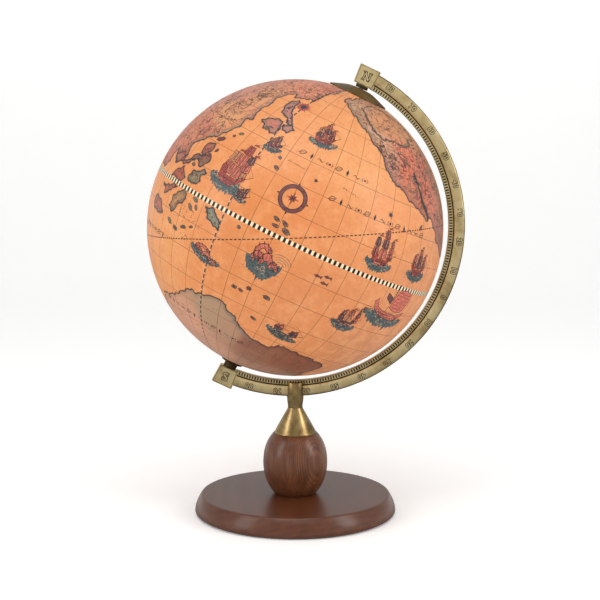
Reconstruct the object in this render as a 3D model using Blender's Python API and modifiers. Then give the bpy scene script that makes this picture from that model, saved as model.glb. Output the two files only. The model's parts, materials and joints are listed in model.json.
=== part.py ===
"""Desktop globe on a turned wooden stand with a brass semi-meridian arm.

Metres, +Z up. The origin is the centre of the felt's underside. The globe's
polar axis leans towards +X and the meridian arm lies in the XZ plane. The
globe, its cap, hubs and collar turn about the polar axis; all the rest stands
still.
"""

import math

import bmesh
import bpy
from mathutils import Matrix, Vector

# Driving dimensions
GAP = 0.0003  # left between pieces that touch
RUN = 0.0001  # radial clearance of a bore that turns on its pin
GLOBE_R = 0.165
GLOBE_WALL = 0.0025
GLOBE_Z = 0.3261  # height of the globe's centre
POLAR_TILT = math.radians(25.2)  # lean of the polar axis from upright, towards +X

BASE_R = 0.1144  # widest radius of the base disc
BASE_TOP_R = 0.1063  # radius of the flat top
BASE_TOP_Z = 0.0226
FELT_R = 0.1100
FELT_T = 0.0012
BASE_BOTTOM_Z = FELT_T + GAP

RECESS_R = 0.0150  # recess under the base for the washer and nut
RECESS_TOP_Z = 0.0105
ROD_R = 0.0030
ROD_HOLE_R = ROD_R + GAP
ROD_BOTTOM_Z = 0.0026
ROD_TOP_Z = 0.1325
WASHER_R = 0.0110
WASHER_T = 0.0015
NUT_ACROSS_FLATS = 0.0100
NUT_T = 0.0048

BULB_FOOT_R = 0.0232
FERRULE_RIM_Z = 0.0930
FERRULE_RIM_R = 0.0237
FERRULE_TOP_Z = 0.1225
FERRULE_TOP_R = 0.0084
FERRULE_SPACE = 0.0018  # from the cone's outer side inwards to its inner side, in plan
FERRULE_CROWN_T = 0.0030  # thickness of the closed top of the cone
FERRULE_BEAD = 0.0012  # height of the rolled edge round the rim
SPIGOT_TOP_Z = 0.1120  # top of the bulb's cone inside the ferrule
SPIGOT_SPACE = 0.0024  # from the cone's outer side inwards to the bulb's cone, in plan

POST_TOP_Z = 0.1516
POST_TOP_R = 0.0096
POST_WAIST_R = 0.0083
POST_BLIND_TOP_Z = 0.1330

ARM_IN_R = 0.1743
ARM_OUT_R = 0.1928
ARM_T = 0.0080
ARM_GROOVE_R = 0.1802  # middle of the groove between ladder and numbers
ARM_GROOVE_W = 0.0020
ARM_GROOVE_DEPTH = 0.0004
ARM_CENTRE = Vector((-0.0038, 0, 0.0004))  # from the globe's centre, in polar axes
ARM_END_X = 0.0056  # the tongue in each block stops this far from the polar axis
ARM_SHOULDER_X = 0.0086  # the arm's inner edge stops here, clear of the spacers
ARM_STEPS = 96

BLOCK_IN = 0.1746  # inner face of each end block, from the globe's centre
BLOCK_H = 0.0214
BLOCK_W_IN = 0.0216
BLOCK_W_OUT = 0.0244
BLOCK_T = 0.0120
BLOCK_SOCKET_X = 0.0053

PIN_R = 0.0030
PIN_TIP = 0.1500  # inner end of each pivot pin, from the globe's centre
PIN_DEPTH = 0.0130  # how far a pin runs into its block
POLE_HOLE_R = 0.0093
HUB_R = 0.0090
HUB_FLANGE_R = 0.0155
HUB_FLANGE_T = 0.0022
HUB_TOP = GLOBE_R - 0.0006
HUB_BOTTOM = PIN_TIP - 0.0020
HUB_NECK_R = 0.0075  # below the flange

CAP_R = 0.0338
CAP_TOP = 0.1706
COLLAR_R = 0.0125
COLLAR_TOP = 0.1682
BAND_T = 0.0018  # joining band inside the equator
BAND_HALF_W = 0.0060
BAND_SPACE = 0.0010  # from the shell's inside to the band
FRICTION_R = 0.0062
FRICTION_T = 0.0006
NORTH_SPACER_R = 0.0070
SOUTH_SPACER_R = 0.0075

BLOCK_SCREW_R = 0.0015
BLOCK_SCREW_HEAD_R = 0.0028
BLOCK_SCREW_HEAD_T = 0.0014
BLOCK_SCREW_TIP_Y = 0.0015
BLOCK_SCREW_X = 0.0088
BLOCK_SCREW_Z = BLOCK_IN + BLOCK_H * 0.45  # from the globe's centre, along the polar axis
SADDLE_SCREW_R = 0.0018
SADDLE_SCREW_HEAD_R = 0.0034
SADDLE_SCREW_Z = 0.1440
SADDLE_SCREW_HEAD_T = 0.0018
SADDLE_SCREW_TIP_Y = 0.0010  # its point stops here, inside the arm
SADDLE_FLAT_Y = 0.0080  # spot-faced seat of the saddle screw's head

FAR = 0.25  # a cutter reaches this far where it only has to clear the part

FINE = 40  # sides of a large turned piece
MEDIUM = 28
SMALL = 16


def clear_scene():
    for obj in list(bpy.data.objects):
        bpy.data.objects.remove(obj, do_unlink=True)


def new_collection(name):
    collection = bpy.data.collections.new(name)
    bpy.context.scene.collection.children.link(collection)
    return collection


def principled(name, colour, roughness, metallic):
    material = bpy.data.materials.new(name)
    material.use_nodes = True
    shader = material.node_tree.nodes["Principled BSDF"]
    shader.inputs["Base Color"].default_value = (*colour, 1.0)
    shader.inputs["Roughness"].default_value = roughness
    shader.inputs["Metallic"].default_value = metallic
    return material


clear_scene()
PARTS = new_collection("desktop_globe")
CUTTERS = new_collection("cutters")
WALNUT = principled("walnut", (0.105, 0.036, 0.019), 0.32, 0.0)
BRASS = principled("antique_brass", (0.42, 0.31, 0.14), 0.36, 1.0)
DARK_BRASS = principled("dark_brass", (0.15, 0.11, 0.06), 0.42, 1.0)
STEEL = principled("steel", (0.45, 0.45, 0.46), 0.35, 1.0)
FELT = principled("felt", (0.012, 0.012, 0.011), 0.95, 0.0)
NYLON = principled("nylon", (0.04, 0.04, 0.042), 0.5, 0.0)
MAP_PRINT = principled("map_print", (0.74, 0.30, 0.12), 0.38, 0.0)
SHELL_PLASTIC = principled("shell_plastic", (0.55, 0.52, 0.46), 0.5, 0.0)


def mesh_object(name, mesh, material, collection=PARTS, parent=None):
    obj = bpy.data.objects.new(name, mesh)
    collection.objects.link(obj)
    obj.parent = parent
    if material:
        mesh.materials.append(material)
    if collection is CUTTERS:
        obj.hide_render = True
        obj.display_type = "WIRE"
    return obj


def turned(name, profile, material, sides=MEDIUM, closed=False, **place):
    """A solid turned about its own Z from (radius, z) points, outer side top to bottom.

    A closed profile is a ring's section; an open one starts and ends on the axis.
    """
    mesh = bpy.data.meshes.new(name)
    count = len(profile)
    edges = [(i, i + 1) for i in range(count - 1)]
    if closed:
        edges.append((count - 1, 0))
    mesh.from_pydata([(radius, 0, z) for radius, z in profile], edges, [])
    obj = mesh_object(name, mesh, material, **place)
    screw = obj.modifiers.new("turn", "SCREW")
    screw.steps = sides
    screw.render_steps = sides
    screw.use_merge_vertices = True
    screw.merge_threshold = 0.00001
    screw.use_smooth_shade = True
    return obj


def sleeve(name, outer_r, inner_r, top, bottom, material, sides=MEDIUM, **place):
    profile = [(inner_r, top), (outer_r, top), (outer_r, bottom), (inner_r, bottom)]
    return turned(name, profile, material, sides, closed=True, **place)


def cylinder_cutter(name, radius, start, end, sides=SMALL, parent=None):
    """A cutting cylinder between two points, in the parent's axes."""
    start = Vector(start)
    along = Vector(end) - start
    mesh = bpy.data.meshes.new(name)
    bm = bmesh.new()
    bmesh.ops.create_cone(
        bm, cap_ends=True, segments=sides, radius1=radius, radius2=radius, depth=along.length
    )
    bm.to_mesh(mesh)
    bm.free()
    obj = mesh_object(name, mesh, None, CUTTERS, parent)
    obj.location = start + along / 2
    obj.rotation_euler = along.to_track_quat("Z", "Y").to_euler()
    return obj


def box_cutter(name, low, high, parent=None):
    mesh = bpy.data.meshes.new(name)
    low = Vector(low)
    high = Vector(high)
    bm = bmesh.new()
    bmesh.ops.create_cube(bm, size=1.0)
    bmesh.ops.scale(bm, vec=high - low, verts=bm.verts)
    bm.to_mesh(mesh)
    bm.free()
    obj = mesh_object(name, mesh, None, CUTTERS, parent)
    obj.location = (low + high) / 2
    return obj


def cut(obj, *cutters):
    for cutter in cutters:
        boolean = obj.modifiers.new(cutter.name, "BOOLEAN")
        boolean.operation = "DIFFERENCE"
        boolean.solver = "EXACT"
        boolean.object = cutter


def empty(name, parent=None):
    obj = bpy.data.objects.new(name, None)
    PARTS.objects.link(obj)
    obj.parent = parent
    return obj


def sphere_z(radius, at_r):
    """Height above its centre of a sphere's surface at a distance from its axis."""
    return math.sqrt(radius**2 - at_r**2)


# Frames: both stand at the globe's centre with Z along the polar axis, towards north.
meridian_frame = empty("meridian_frame")
meridian_frame.location = (0, 0, GLOBE_Z)
meridian_frame.rotation_euler = (0, POLAR_TILT, 0)
globe_spin_axis = empty("globe_spin_axis")
globe_spin_axis.location = meridian_frame.location
globe_spin_axis.rotation_euler = meridian_frame.rotation_euler
SOUTHWARD = (math.pi, 0, 0)  # turns a pole piece so that it serves the south pole


def make_felt():
    profile = [(0, FELT_T), (FELT_R, FELT_T), (FELT_R, 0), (0, 0)]
    turned("base_felt", profile, FELT, FINE)


def make_base():
    shoulder = [
        (BASE_TOP_R, BASE_TOP_Z),
        (BASE_TOP_R + 0.0012, BASE_TOP_Z - 0.0008),
        (BASE_R - 0.0043, 0.0176),
        (BASE_R - 0.0019, 0.0126),
        (BASE_R - 0.0005, 0.0080),
        (BASE_R, 0.0045),
        (BASE_R - 0.0004, 0.0026),
        (BASE_R - 0.0016, BASE_BOTTOM_Z),
    ]
    recess = [
        (RECESS_R, BASE_BOTTOM_Z),
        (RECESS_R, RECESS_TOP_Z),
        (ROD_HOLE_R, RECESS_TOP_Z),
        (ROD_HOLE_R, BASE_TOP_Z),
    ]
    turned("base_disc", shoulder + recess, WALNUT, FINE, closed=True)


def make_base_fasteners():
    washer_top = RECESS_TOP_Z - GAP
    nut_top = washer_top - WASHER_T - GAP
    sleeve("base_washer", WASHER_R, ROD_HOLE_R, washer_top, washer_top - WASHER_T, STEEL, SMALL)
    corner_r = NUT_ACROSS_FLATS / 2 / math.cos(math.pi / 6)
    nut_bottom = nut_top - NUT_T
    hexagon = [(0, nut_top), (corner_r, nut_top), (corner_r, nut_bottom), (0, nut_bottom)]
    nut = turned("base_nut", hexagon, STEEL, 6)
    thread = cylinder_cutter("base_nut_bore_cutter", ROD_HOLE_R, (0, 0, 0), (0, 0, 0.02), 16)
    cut(nut, thread)
    rod = [(0, ROD_TOP_Z), (ROD_R, ROD_TOP_Z), (ROD_R, ROD_BOTTOM_Z), (0, ROD_BOTTOM_Z)]
    turned("tie_rod", rod, STEEL, 16)


def ferrule_r(z):
    """Outer radius of the cone ferrule at a height."""
    part = (z - FERRULE_RIM_Z) / (FERRULE_TOP_Z - FERRULE_RIM_Z)
    return FERRULE_RIM_R + part * (FERRULE_TOP_R - FERRULE_RIM_R)


def make_bulb():
    foot_z = BASE_TOP_Z + GAP
    shoulder_z = FERRULE_RIM_Z - GAP
    outer = [
        (ROD_HOLE_R, SPIGOT_TOP_Z),
        (ferrule_r(SPIGOT_TOP_Z) - SPIGOT_SPACE, SPIGOT_TOP_Z),
        (ferrule_r(shoulder_z) - SPIGOT_SPACE, shoulder_z),
        (0.0249, shoulder_z),
        (0.0285, 0.0882),
        (0.0324, 0.0812),
        (0.0353, 0.0720),
        (0.0365, 0.0610),
        (0.0361, 0.0510),
        (0.0343, 0.0420),
        (0.0310, 0.0335),
        (0.0270, 0.0270),
        (BULB_FOOT_R, foot_z),
        (ROD_HOLE_R, foot_z),
    ]
    turned("stem_bulb", outer, WALNUT, FINE, closed=True)


def make_ferrule():
    outer = [
        (ROD_HOLE_R, FERRULE_TOP_Z),
        (FERRULE_TOP_R, FERRULE_TOP_Z),
        (ferrule_r(FERRULE_RIM_Z + FERRULE_BEAD * 1.5), FERRULE_RIM_Z + FERRULE_BEAD * 1.5),
        (FERRULE_RIM_R, FERRULE_RIM_Z + FERRULE_BEAD),
        (FERRULE_RIM_R + 0.0002, FERRULE_RIM_Z + FERRULE_BEAD / 2),
        (FERRULE_RIM_R - 0.0002, FERRULE_RIM_Z),
    ]
    inner_top_z = FERRULE_TOP_Z - FERRULE_CROWN_T
    inner = [
        (ferrule_r(FERRULE_RIM_Z) - FERRULE_SPACE, FERRULE_RIM_Z),
        (ferrule_r(inner_top_z) - FERRULE_SPACE, inner_top_z),
        (ROD_HOLE_R, inner_top_z),
    ]
    turned("stem_ferrule", outer + inner, BRASS, FINE, closed=True)


def make_saddle():
    bottom = FERRULE_TOP_Z + GAP
    profile = [
        (0, POST_TOP_Z),
        (POST_TOP_R - 0.0005, POST_TOP_Z),
        (POST_TOP_R, POST_TOP_Z - 0.0005),
        (POST_TOP_R - 0.0002, 0.1340),
        (POST_TOP_R - 0.0007, 0.1280),
        (POST_WAIST_R, bottom),
        (0, bottom),
    ]
    post = turned("meridian_saddle", profile, BRASS, MEDIUM)
    arm_bottom_z = meridian_point(ARM_CENTRE).z - ARM_OUT_R
    half_slot = ARM_T / 2 + GAP
    slot = box_cutter(
        "saddle_slot_cutter",
        (-0.02, -half_slot, arm_bottom_z - GAP),
        (0.02, half_slot, POST_TOP_Z + 0.01),
    )
    rod_hole = cylinder_cutter(
        "saddle_rod_cutter", ROD_HOLE_R, (0, 0, bottom - 0.005), (0, 0, POST_BLIND_TOP_Z), 16
    )
    z = SADDLE_SCREW_Z
    screw_hole = cylinder_cutter(
        "saddle_screw_cutter", SADDLE_SCREW_R + GAP, (0, 0, z), (0, 0.02, z), 16
    )
    spot_face = cylinder_cutter(
        "saddle_spot_face_cutter", SADDLE_SCREW_HEAD_R + GAP, (0, SADDLE_FLAT_Y, z), (0, 0.02, z)
    )
    cut(post, slot, rod_hole, screw_hole, spot_face)


def meridian_point(local):
    """World position of a point in the polar axes."""
    return Vector((0, 0, GLOBE_Z)) + Matrix.Rotation(POLAR_TILT, 3, "Y") @ Vector(local)


def make_saddle_screw():
    seat = SADDLE_FLAT_Y + GAP
    profile = [
        (0, seat + SADDLE_SCREW_HEAD_T),
        (SADDLE_SCREW_HEAD_R - 0.0010, seat + SADDLE_SCREW_HEAD_T),
        (SADDLE_SCREW_HEAD_R, seat + 0.0008),
        (SADDLE_SCREW_HEAD_R, seat),
        (SADDLE_SCREW_R, seat),
        (SADDLE_SCREW_R, SADDLE_SCREW_TIP_Y),
        (0, SADDLE_SCREW_TIP_Y),
    ]
    screw = turned("saddle_screw", profile, BRASS, 16)
    screw.location = (0, 0, SADDLE_SCREW_Z)
    screw.rotation_euler = (-math.pi / 2, 0, 0)


def make_arm():
    half = ARM_T / 2
    bevel = 0.0010
    groove_out = ARM_GROOVE_R + ARM_GROOVE_W / 2
    groove_in = ARM_GROOVE_R - ARM_GROOVE_W / 2
    sunk = half - ARM_GROOVE_DEPTH
    upper = [
        (ARM_IN_R, half),
        (groove_in, half),
        (groove_in, sunk),
        (groove_out, sunk),
        (groove_out, half),
        (ARM_OUT_R - bevel, half),
        (ARM_OUT_R, half - bevel),
    ]
    lower = [(radius, -z) for radius, z in reversed(upper)]
    arm = turned("meridian_arm", upper + lower, BRASS, ARM_STEPS, closed=True)
    arm.parent = meridian_frame
    arm.location = ARM_CENTRE
    arm.rotation_euler = (math.pi / 2, 0, 0)
    open_side = box_cutter(
        "arm_open_side_cutter", (-FAR, -0.05, -FAR), (ARM_END_X, 0.05, FAR), meridian_frame
    )
    step_z = BLOCK_IN + GAP
    tongue_step = box_cutter(
        "arm_tongue_step_cutter",
        (-FAR, -0.05, -step_z),
        (ARM_SHOULDER_X, 0.05, step_z),
        meridian_frame,
    )
    cutters = [open_side, tongue_step]
    for name, sign in (("north", 1), ("south", -1)):
        z = sign * BLOCK_SCREW_Z
        hole = cylinder_cutter(
            f"arm_{name}_screw_cutter",
            BLOCK_SCREW_R + GAP,
            (BLOCK_SCREW_X, 0.0010, z),
            (BLOCK_SCREW_X, 0.02, z),
            12,
            meridian_frame,
        )
        cutters.append(hole)
    z = SADDLE_SCREW_Z
    saddle_hole = cylinder_cutter(
        "arm_saddle_screw_cutter", SADDLE_SCREW_R + GAP, (0, 0.0005, z), (0, 0.02, z), 12
    )
    cut(arm, *cutters, saddle_hole)


def make_block(name, sign):
    """A keystone end block: its socket takes the arm's end, its bore the pivot pin."""
    mesh = bpy.data.meshes.new(name)
    bm = bmesh.new()
    bmesh.ops.create_cube(bm, size=1.0)
    bmesh.ops.scale(bm, vec=(1, BLOCK_T, BLOCK_H), verts=bm.verts)
    for vert in bm.verts:
        outward = vert.co.z * sign > 0
        vert.co.x *= BLOCK_W_OUT if outward else BLOCK_W_IN
    bm.to_mesh(mesh)
    bm.free()
    block = mesh_object(name, mesh, BRASS, parent=meridian_frame)
    block.location = (0, 0, sign * (BLOCK_IN + BLOCK_H / 2))
    bevel = block.modifiers.new("round_edges", "BEVEL")
    bevel.width = 0.0006
    bevel.segments = 2

    arm_out = sphere_z(ARM_OUT_R, BLOCK_SOCKET_X - ARM_CENTRE.x) + sign * ARM_CENTRE.z
    near = sign * (BLOCK_IN - 0.01)
    far = sign * (arm_out + GAP)
    half_slot = ARM_T / 2 + GAP
    socket = box_cutter(
        f"{name}_socket_cutter",
        (BLOCK_SOCKET_X, -half_slot, min(near, far)),
        (0.03, half_slot, max(near, far)),
        meridian_frame,
    )
    bore = cylinder_cutter(
        f"{name}_bore_cutter",
        PIN_R + GAP,
        (0, 0, near),
        (0, 0, sign * (BLOCK_IN + PIN_DEPTH + GAP)),
        16,
        meridian_frame,
    )
    z = sign * BLOCK_SCREW_Z
    screw_hole = cylinder_cutter(
        f"{name}_screw_cutter",
        BLOCK_SCREW_R + GAP,
        (BLOCK_SCREW_X, 0, z),
        (BLOCK_SCREW_X, 0.02, z),
        12,
        meridian_frame,
    )
    cut(block, socket, bore, screw_hole)


def make_block_screw(name, sign):
    seat = BLOCK_T / 2 + GAP
    profile = [
        (0, seat + BLOCK_SCREW_HEAD_T),
        (BLOCK_SCREW_HEAD_R - 0.0008, seat + BLOCK_SCREW_HEAD_T),
        (BLOCK_SCREW_HEAD_R, seat + 0.0006),
        (BLOCK_SCREW_HEAD_R, seat),
        (BLOCK_SCREW_R, seat),
        (BLOCK_SCREW_R, BLOCK_SCREW_TIP_Y),
        (0, BLOCK_SCREW_TIP_Y),
    ]
    screw = turned(name, profile, BRASS, 16, parent=meridian_frame)
    screw.location = (BLOCK_SCREW_X, 0, sign * BLOCK_SCREW_Z)
    screw.rotation_euler = (-math.pi / 2, 0, 0)


def make_pole_fixings(name, spacer_r, seat, turn):
    """Pin, spacer bush and friction washer of one pole, all fixed to the arm's block."""
    place = {"parent": meridian_frame}
    pin_end = BLOCK_IN + PIN_DEPTH
    pin = [(0, pin_end), (PIN_R, pin_end), (PIN_R, PIN_TIP), (0, PIN_TIP)]
    bore_r = PIN_R + GAP
    washer_bottom = seat + GAP
    washer_top = washer_bottom + FRICTION_T
    spacer_top = BLOCK_IN - GAP
    pieces = [
        turned(f"{name}_pivot_pin", pin, STEEL, 24, **place),
        sleeve(
            f"{name}_friction_washer", FRICTION_R, bore_r, washer_top, washer_bottom, NYLON,
            SMALL, **place
        ),
        sleeve(
            f"{name}_spacer", spacer_r, bore_r, spacer_top, washer_top + GAP, DARK_BRASS,
            SMALL, **place
        ),
    ]
    for piece in pieces:
        piece.rotation_euler = turn


def make_hemisphere(name, material, turn):
    steps = 10
    hole = math.asin(POLE_HOLE_R / GLOBE_R)
    seam = GAP / 2
    low = math.pi / 2 - math.asin(seam / GLOBE_R)
    angles = [hole + (low - hole) * i / steps for i in range(steps + 1)]
    outer = [(GLOBE_R * math.sin(a), GLOBE_R * math.cos(a)) for a in angles]
    inner_r = GLOBE_R - GLOBE_WALL
    inner = [(inner_r * math.sin(a), inner_r * math.cos(a)) for a in reversed(angles)]
    inner[0] = (inner_r, seam)
    inner[-1] = (POLE_HOLE_R, inner[-1][1])
    shell = turned(name, outer + inner, material, FINE, closed=True, parent=globe_spin_axis)
    shell.rotation_euler = turn


def make_joining_band():
    outer_r = GLOBE_R - GLOBE_WALL - BAND_SPACE
    sleeve(
        "equator_joining_band", outer_r, outer_r - BAND_T, BAND_HALF_W, -BAND_HALF_W,
        SHELL_PLASTIC, FINE, parent=globe_spin_axis
    )


def make_hub(name, turn):
    flange_top = sphere_z(GLOBE_R - GLOBE_WALL, HUB_FLANGE_R) - 0.0008
    bore_r = PIN_R + RUN
    profile = [
        (bore_r, HUB_TOP),
        (HUB_R, HUB_TOP),
        (HUB_R, flange_top),
        (HUB_FLANGE_R, flange_top),
        (HUB_FLANGE_R, flange_top - HUB_FLANGE_T),
        (HUB_NECK_R, flange_top - HUB_FLANGE_T - 0.0008),
        (HUB_NECK_R, HUB_BOTTOM),
        (bore_r, HUB_BOTTOM),
    ]
    hub = turned(name, profile, SHELL_PLASTIC, 24, closed=True, parent=globe_spin_axis)
    hub.rotation_euler = turn


def make_polar_cap():
    seat_r = GLOBE_R + GAP
    bore_r = PIN_R + GAP
    upper = [
        (bore_r, CAP_TOP),
        (0.0075, CAP_TOP - 0.0001),
        (0.0125, CAP_TOP - 0.0006),
        (0.0180, CAP_TOP - 0.0020),
        (0.0255, CAP_TOP - 0.0047),
        (CAP_R - 0.0006, CAP_TOP - 0.0076),
        (CAP_R, CAP_TOP - 0.0083),
    ]
    under = [(r, sphere_z(seat_r, r)) for r in (CAP_R - 0.0001, 0.0260, 0.0180, 0.0100, bore_r)]
    turned(
        "north_polar_cap", upper + under, DARK_BRASS, FINE, closed=True, parent=globe_spin_axis
    )


def make_south_collar():
    bore_r = PIN_R + GAP
    seat = GLOBE_R + 0.0001
    profile = [
        (bore_r, COLLAR_TOP),
        (COLLAR_R - 0.0025, COLLAR_TOP),
        (COLLAR_R, COLLAR_TOP - 0.0014),
        (COLLAR_R, seat),
        (bore_r, seat),
    ]
    collar = turned(
        "south_pole_collar", profile, DARK_BRASS, MEDIUM, closed=True, parent=globe_spin_axis
    )
    collar.rotation_euler = SOUTHWARD


make_felt()
make_base()
make_base_fasteners()
make_bulb()
make_ferrule()
make_saddle()
make_saddle_screw()
make_arm()
for pole, direction in (("north", 1), ("south", -1)):
    make_block(f"{pole}_block", direction)
    make_block_screw(f"{pole}_block_screw", direction)
make_pole_fixings("north", NORTH_SPACER_R, CAP_TOP, (0, 0, 0))
make_pole_fixings("south", SOUTH_SPACER_R, COLLAR_TOP, SOUTHWARD)
make_hemisphere("north_hemisphere", MAP_PRINT, (0, 0, 0))
make_hemisphere("south_hemisphere", MAP_PRINT, SOUTHWARD)
make_joining_band()
make_hub("north_hub", (0, 0, 0))
make_hub("south_hub", SOUTHWARD)
make_polar_cap()
make_south_collar()
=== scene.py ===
"""A desktop globe in a brass half meridian on a walnut stand: the looks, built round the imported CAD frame."""

import json
import math
import random

import bmesh
import bpy
import numpy as np
from mathutils import Matrix, Vector
from mathutils.geometry import tessellate_polygon
from mathutils.kdtree import KDTree


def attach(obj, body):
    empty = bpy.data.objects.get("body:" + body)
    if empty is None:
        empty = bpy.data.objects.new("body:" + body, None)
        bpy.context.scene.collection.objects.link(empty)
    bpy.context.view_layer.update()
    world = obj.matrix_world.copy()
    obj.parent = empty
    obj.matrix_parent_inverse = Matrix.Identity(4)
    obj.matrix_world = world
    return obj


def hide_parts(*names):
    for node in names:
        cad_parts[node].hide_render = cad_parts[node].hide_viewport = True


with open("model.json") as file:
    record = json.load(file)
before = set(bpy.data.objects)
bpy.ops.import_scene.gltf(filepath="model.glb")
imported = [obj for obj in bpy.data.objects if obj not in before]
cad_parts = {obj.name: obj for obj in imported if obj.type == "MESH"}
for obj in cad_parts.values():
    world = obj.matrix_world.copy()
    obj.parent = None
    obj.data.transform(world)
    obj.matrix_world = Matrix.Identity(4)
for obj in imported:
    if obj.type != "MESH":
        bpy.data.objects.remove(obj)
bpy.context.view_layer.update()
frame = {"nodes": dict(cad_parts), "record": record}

MM = 0.001

# Sizes in metres, as in part.py.
GLOBE_R = 0.1650
GLOBE_Z = 0.3261
TILT = math.radians(25.2)
FRONT_LON = 183.0  # the longitude that faces -Y
ARM_CENTRE = Vector((-0.0038, 0, 0.0004))
ARM_IN_R, ARM_OUT_R, ARM_T = 0.1743, 0.1928, 0.0080
BLOCK_IN, BLOCK_H, BLOCK_T = 0.1746, 0.0214, 0.0120
BLOCK_W_IN, BLOCK_W_OUT = 0.0216, 0.0244

CENTRE = Vector((0, 0, GLOBE_Z))
EAST = Vector((math.cos(TILT), 0, -math.sin(TILT)))
NORTH = Vector((math.sin(TILT), 0, math.cos(TILT)))
FRONT = Vector((0, -1, 0))
POLAR = Matrix.Translation(CENTRE) @ Matrix.Rotation(TILT, 4, "Y")


def round_point(radius, angle, x=0.0, y=0.0):
    """The point of a circle about (x, y) at an angle in radians."""
    return (x + radius * math.cos(angle), y + radius * math.sin(angle))


def circle(radius, count):
    """Points at equal steps round a circle about the origin."""
    return [round_point(radius, 2 * math.pi * k / count) for k in range(count)]


def linked(name, data):
    """A new object of this data, in the scene."""
    made = bpy.data.objects.new(name, data)
    bpy.context.scene.collection.objects.link(made)
    return made


def as_mesh(made, name):
    """The bmesh as a mesh; the bmesh is freed."""
    mesh = bpy.data.meshes.new(name)
    made.to_mesh(mesh)
    made.free()
    return mesh


def evaluated_mesh(owner):
    """A mesh of the object as it is after its modifiers, or of its text."""
    bpy.context.view_layer.update()
    return bpy.data.meshes.new_from_object(owner.evaluated_get(bpy.context.evaluated_depsgraph_get()))


# ---------------------------------------------------------------- materials


def rgb(red, green, blue):
    """Linear RGBA of a screen colour given from 0 to 255."""

    def linear(c):
        c /= 255
        return c / 12.92 if c <= 0.04045 else ((c + 0.055) / 1.055) ** 2.4

    return (linear(red), linear(green), linear(blue), 1)


class Look:
    """A new material, with short calls that add nodes to it."""

    def __init__(self, name, **settings):
        self.material = bpy.data.materials.new(name)
        self.material.use_nodes = True
        self.nodes = self.material.node_tree.nodes
        self.links = self.material.node_tree.links
        self.shader = self.nodes["Principled BSDF"]
        for key, value in settings.items():
            self.shader.inputs[key.replace("_", " ")].default_value = value

    def add(self, kind, *inputs, **options):
        """A new shader node; inputs are pairs of a socket and its value."""
        node = self.nodes.new("ShaderNode" + kind)
        for key, value in options.items():
            setattr(node, key, value)
        for socket, value in inputs:
            self.feed(node.inputs[socket], value)
        return node

    def feed(self, socket, value):
        """Links the value to the socket, or sets it there."""
        if isinstance(value, bpy.types.NodeSocket):
            self.links.new(value, socket)
        else:
            socket.default_value = value

    def out(self, socket, value):
        """Sends a value to an input of the shader."""
        self.feed(self.shader.inputs[socket], value)

    def math(self, operation, a, b=None, c=None):
        values = [(i, v) for i, v in enumerate((a, b, c)) if v is not None]
        return self.add("Math", *values, operation=operation).outputs[0]

    def times(self, a, b):
        return self.math("MULTIPLY", a, b)

    def off(self, value, middle):
        """How far value lies from middle, either way."""
        return self.math("ABSOLUTE", self.math("SUBTRACT", value, middle))

    def mix(self, share, a, b):
        """Colour a, or b where share is 1."""
        node = self.add("Mix", data_type="RGBA")
        for socket, value in zip((0, 6, 7), (share, a, b)):
            self.feed(node.inputs[socket], value)
        return node.outputs[2]

    def step(self, value, low, high):
        """0 below low and 1 above high, smooth between."""
        limits = ("Value", value), ("From Min", low), ("From Max", high)
        return self.add("MapRange", *limits, interpolation_type="SMOOTHSTEP").outputs[0]

    def under(self, value, low, high):
        """1 below low and 0 above high, smooth between."""
        return self.math("SUBTRACT", 1.0, self.step(value, low, high))

    def stain(self, colour, tint, share, mask):
        """The colour with tint mixed in, by share where the mask is 1."""
        return self.mix(self.times(mask, share), colour, tint)

    def ramp(self, value, *stops):
        """A blend through colours, given as (place, colour)."""
        node = self.add("ValToRGB", (0, value))
        elements = node.color_ramp.elements
        while len(elements) < len(stops):
            elements.new(0.5)
        for element, (place, colour) in zip(elements, stops):
            element.position = place
            element.color = colour
        return node.outputs[0]

    def place(self, scale=(1, 1, 1), turn=(0, 0, 0), shift=(0, 0, 0)):
        """Object coordinates, which are the row frame's, in metres."""
        coordinates = self.add("TexCoord").outputs["Object"]
        moves = ("Vector", coordinates), ("Scale", scale), ("Rotation", turn), ("Location", shift)
        return self.add("Mapping", *moves).outputs[0]

    def noise(self, vector, scale, detail, rough, distortion=0.0):
        values = ("Vector", vector), ("Scale", scale), ("Detail", detail), ("Roughness", rough)
        return self.add("TexNoise", *values, ("Distortion", distortion)).outputs[0]

    def attribute(self, name, output):
        return self.add("Attribute", attribute_name=name).outputs[output]

    def bump(self, height, distance, strength=1.0):
        return self.add("Bump", ("Height", height), ("Distance", distance), ("Strength", strength)).outputs[0]


def brass_look(name, mid, light, dark, roughness, shade_and_grime=0.8):
    """Antique brass: brushed, a little blotched by tarnish, and darkened in its recesses by painted shade from
    an occlusion node, which also stands for the soiling there.
    """
    look = Look(name, Metallic=1.0)
    place = look.place()
    blotch = look.noise(place, 45.0, 4.0, 0.6, 0.4)
    fine = look.noise(place, 900.0, 3.0, 0.6)
    brushed = look.noise(look.place(scale=(1, 6, 1)), 420.0, 2.0, 0.5)
    colour = look.ramp(blotch, (0.30, dark), (0.48, mid), (0.72, light))
    colour = look.stain(colour, dark, 0.35, look.step(fine, 0.50, 0.75))
    # painted shade: the occlusion node darkens the colour in recesses and where parts meet, standing also for
    # soiling there
    recess = look.add("AmbientOcclusion", ("Distance", 1.6 * MM), samples=6, only_local=True).outputs["AO"]
    shade_and_dirt = look.times(look.under(recess, 0.40, 0.95), shade_and_grime)
    colour = look.mix(shade_and_dirt, colour, rgb(44, 34, 22))
    look.out("Base Color", colour)
    rough = look.math("MULTIPLY_ADD", blotch, 0.16, roughness - 0.08)
    rough = look.math("MULTIPLY_ADD", shade_and_dirt, 0.30, rough)
    look.out("Roughness", rough)
    height = look.math("MULTIPLY_ADD", fine, 0.5, brushed)
    look.out("Normal", look.bump(height, 0.03 * MM, 0.6))
    return look.material


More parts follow.
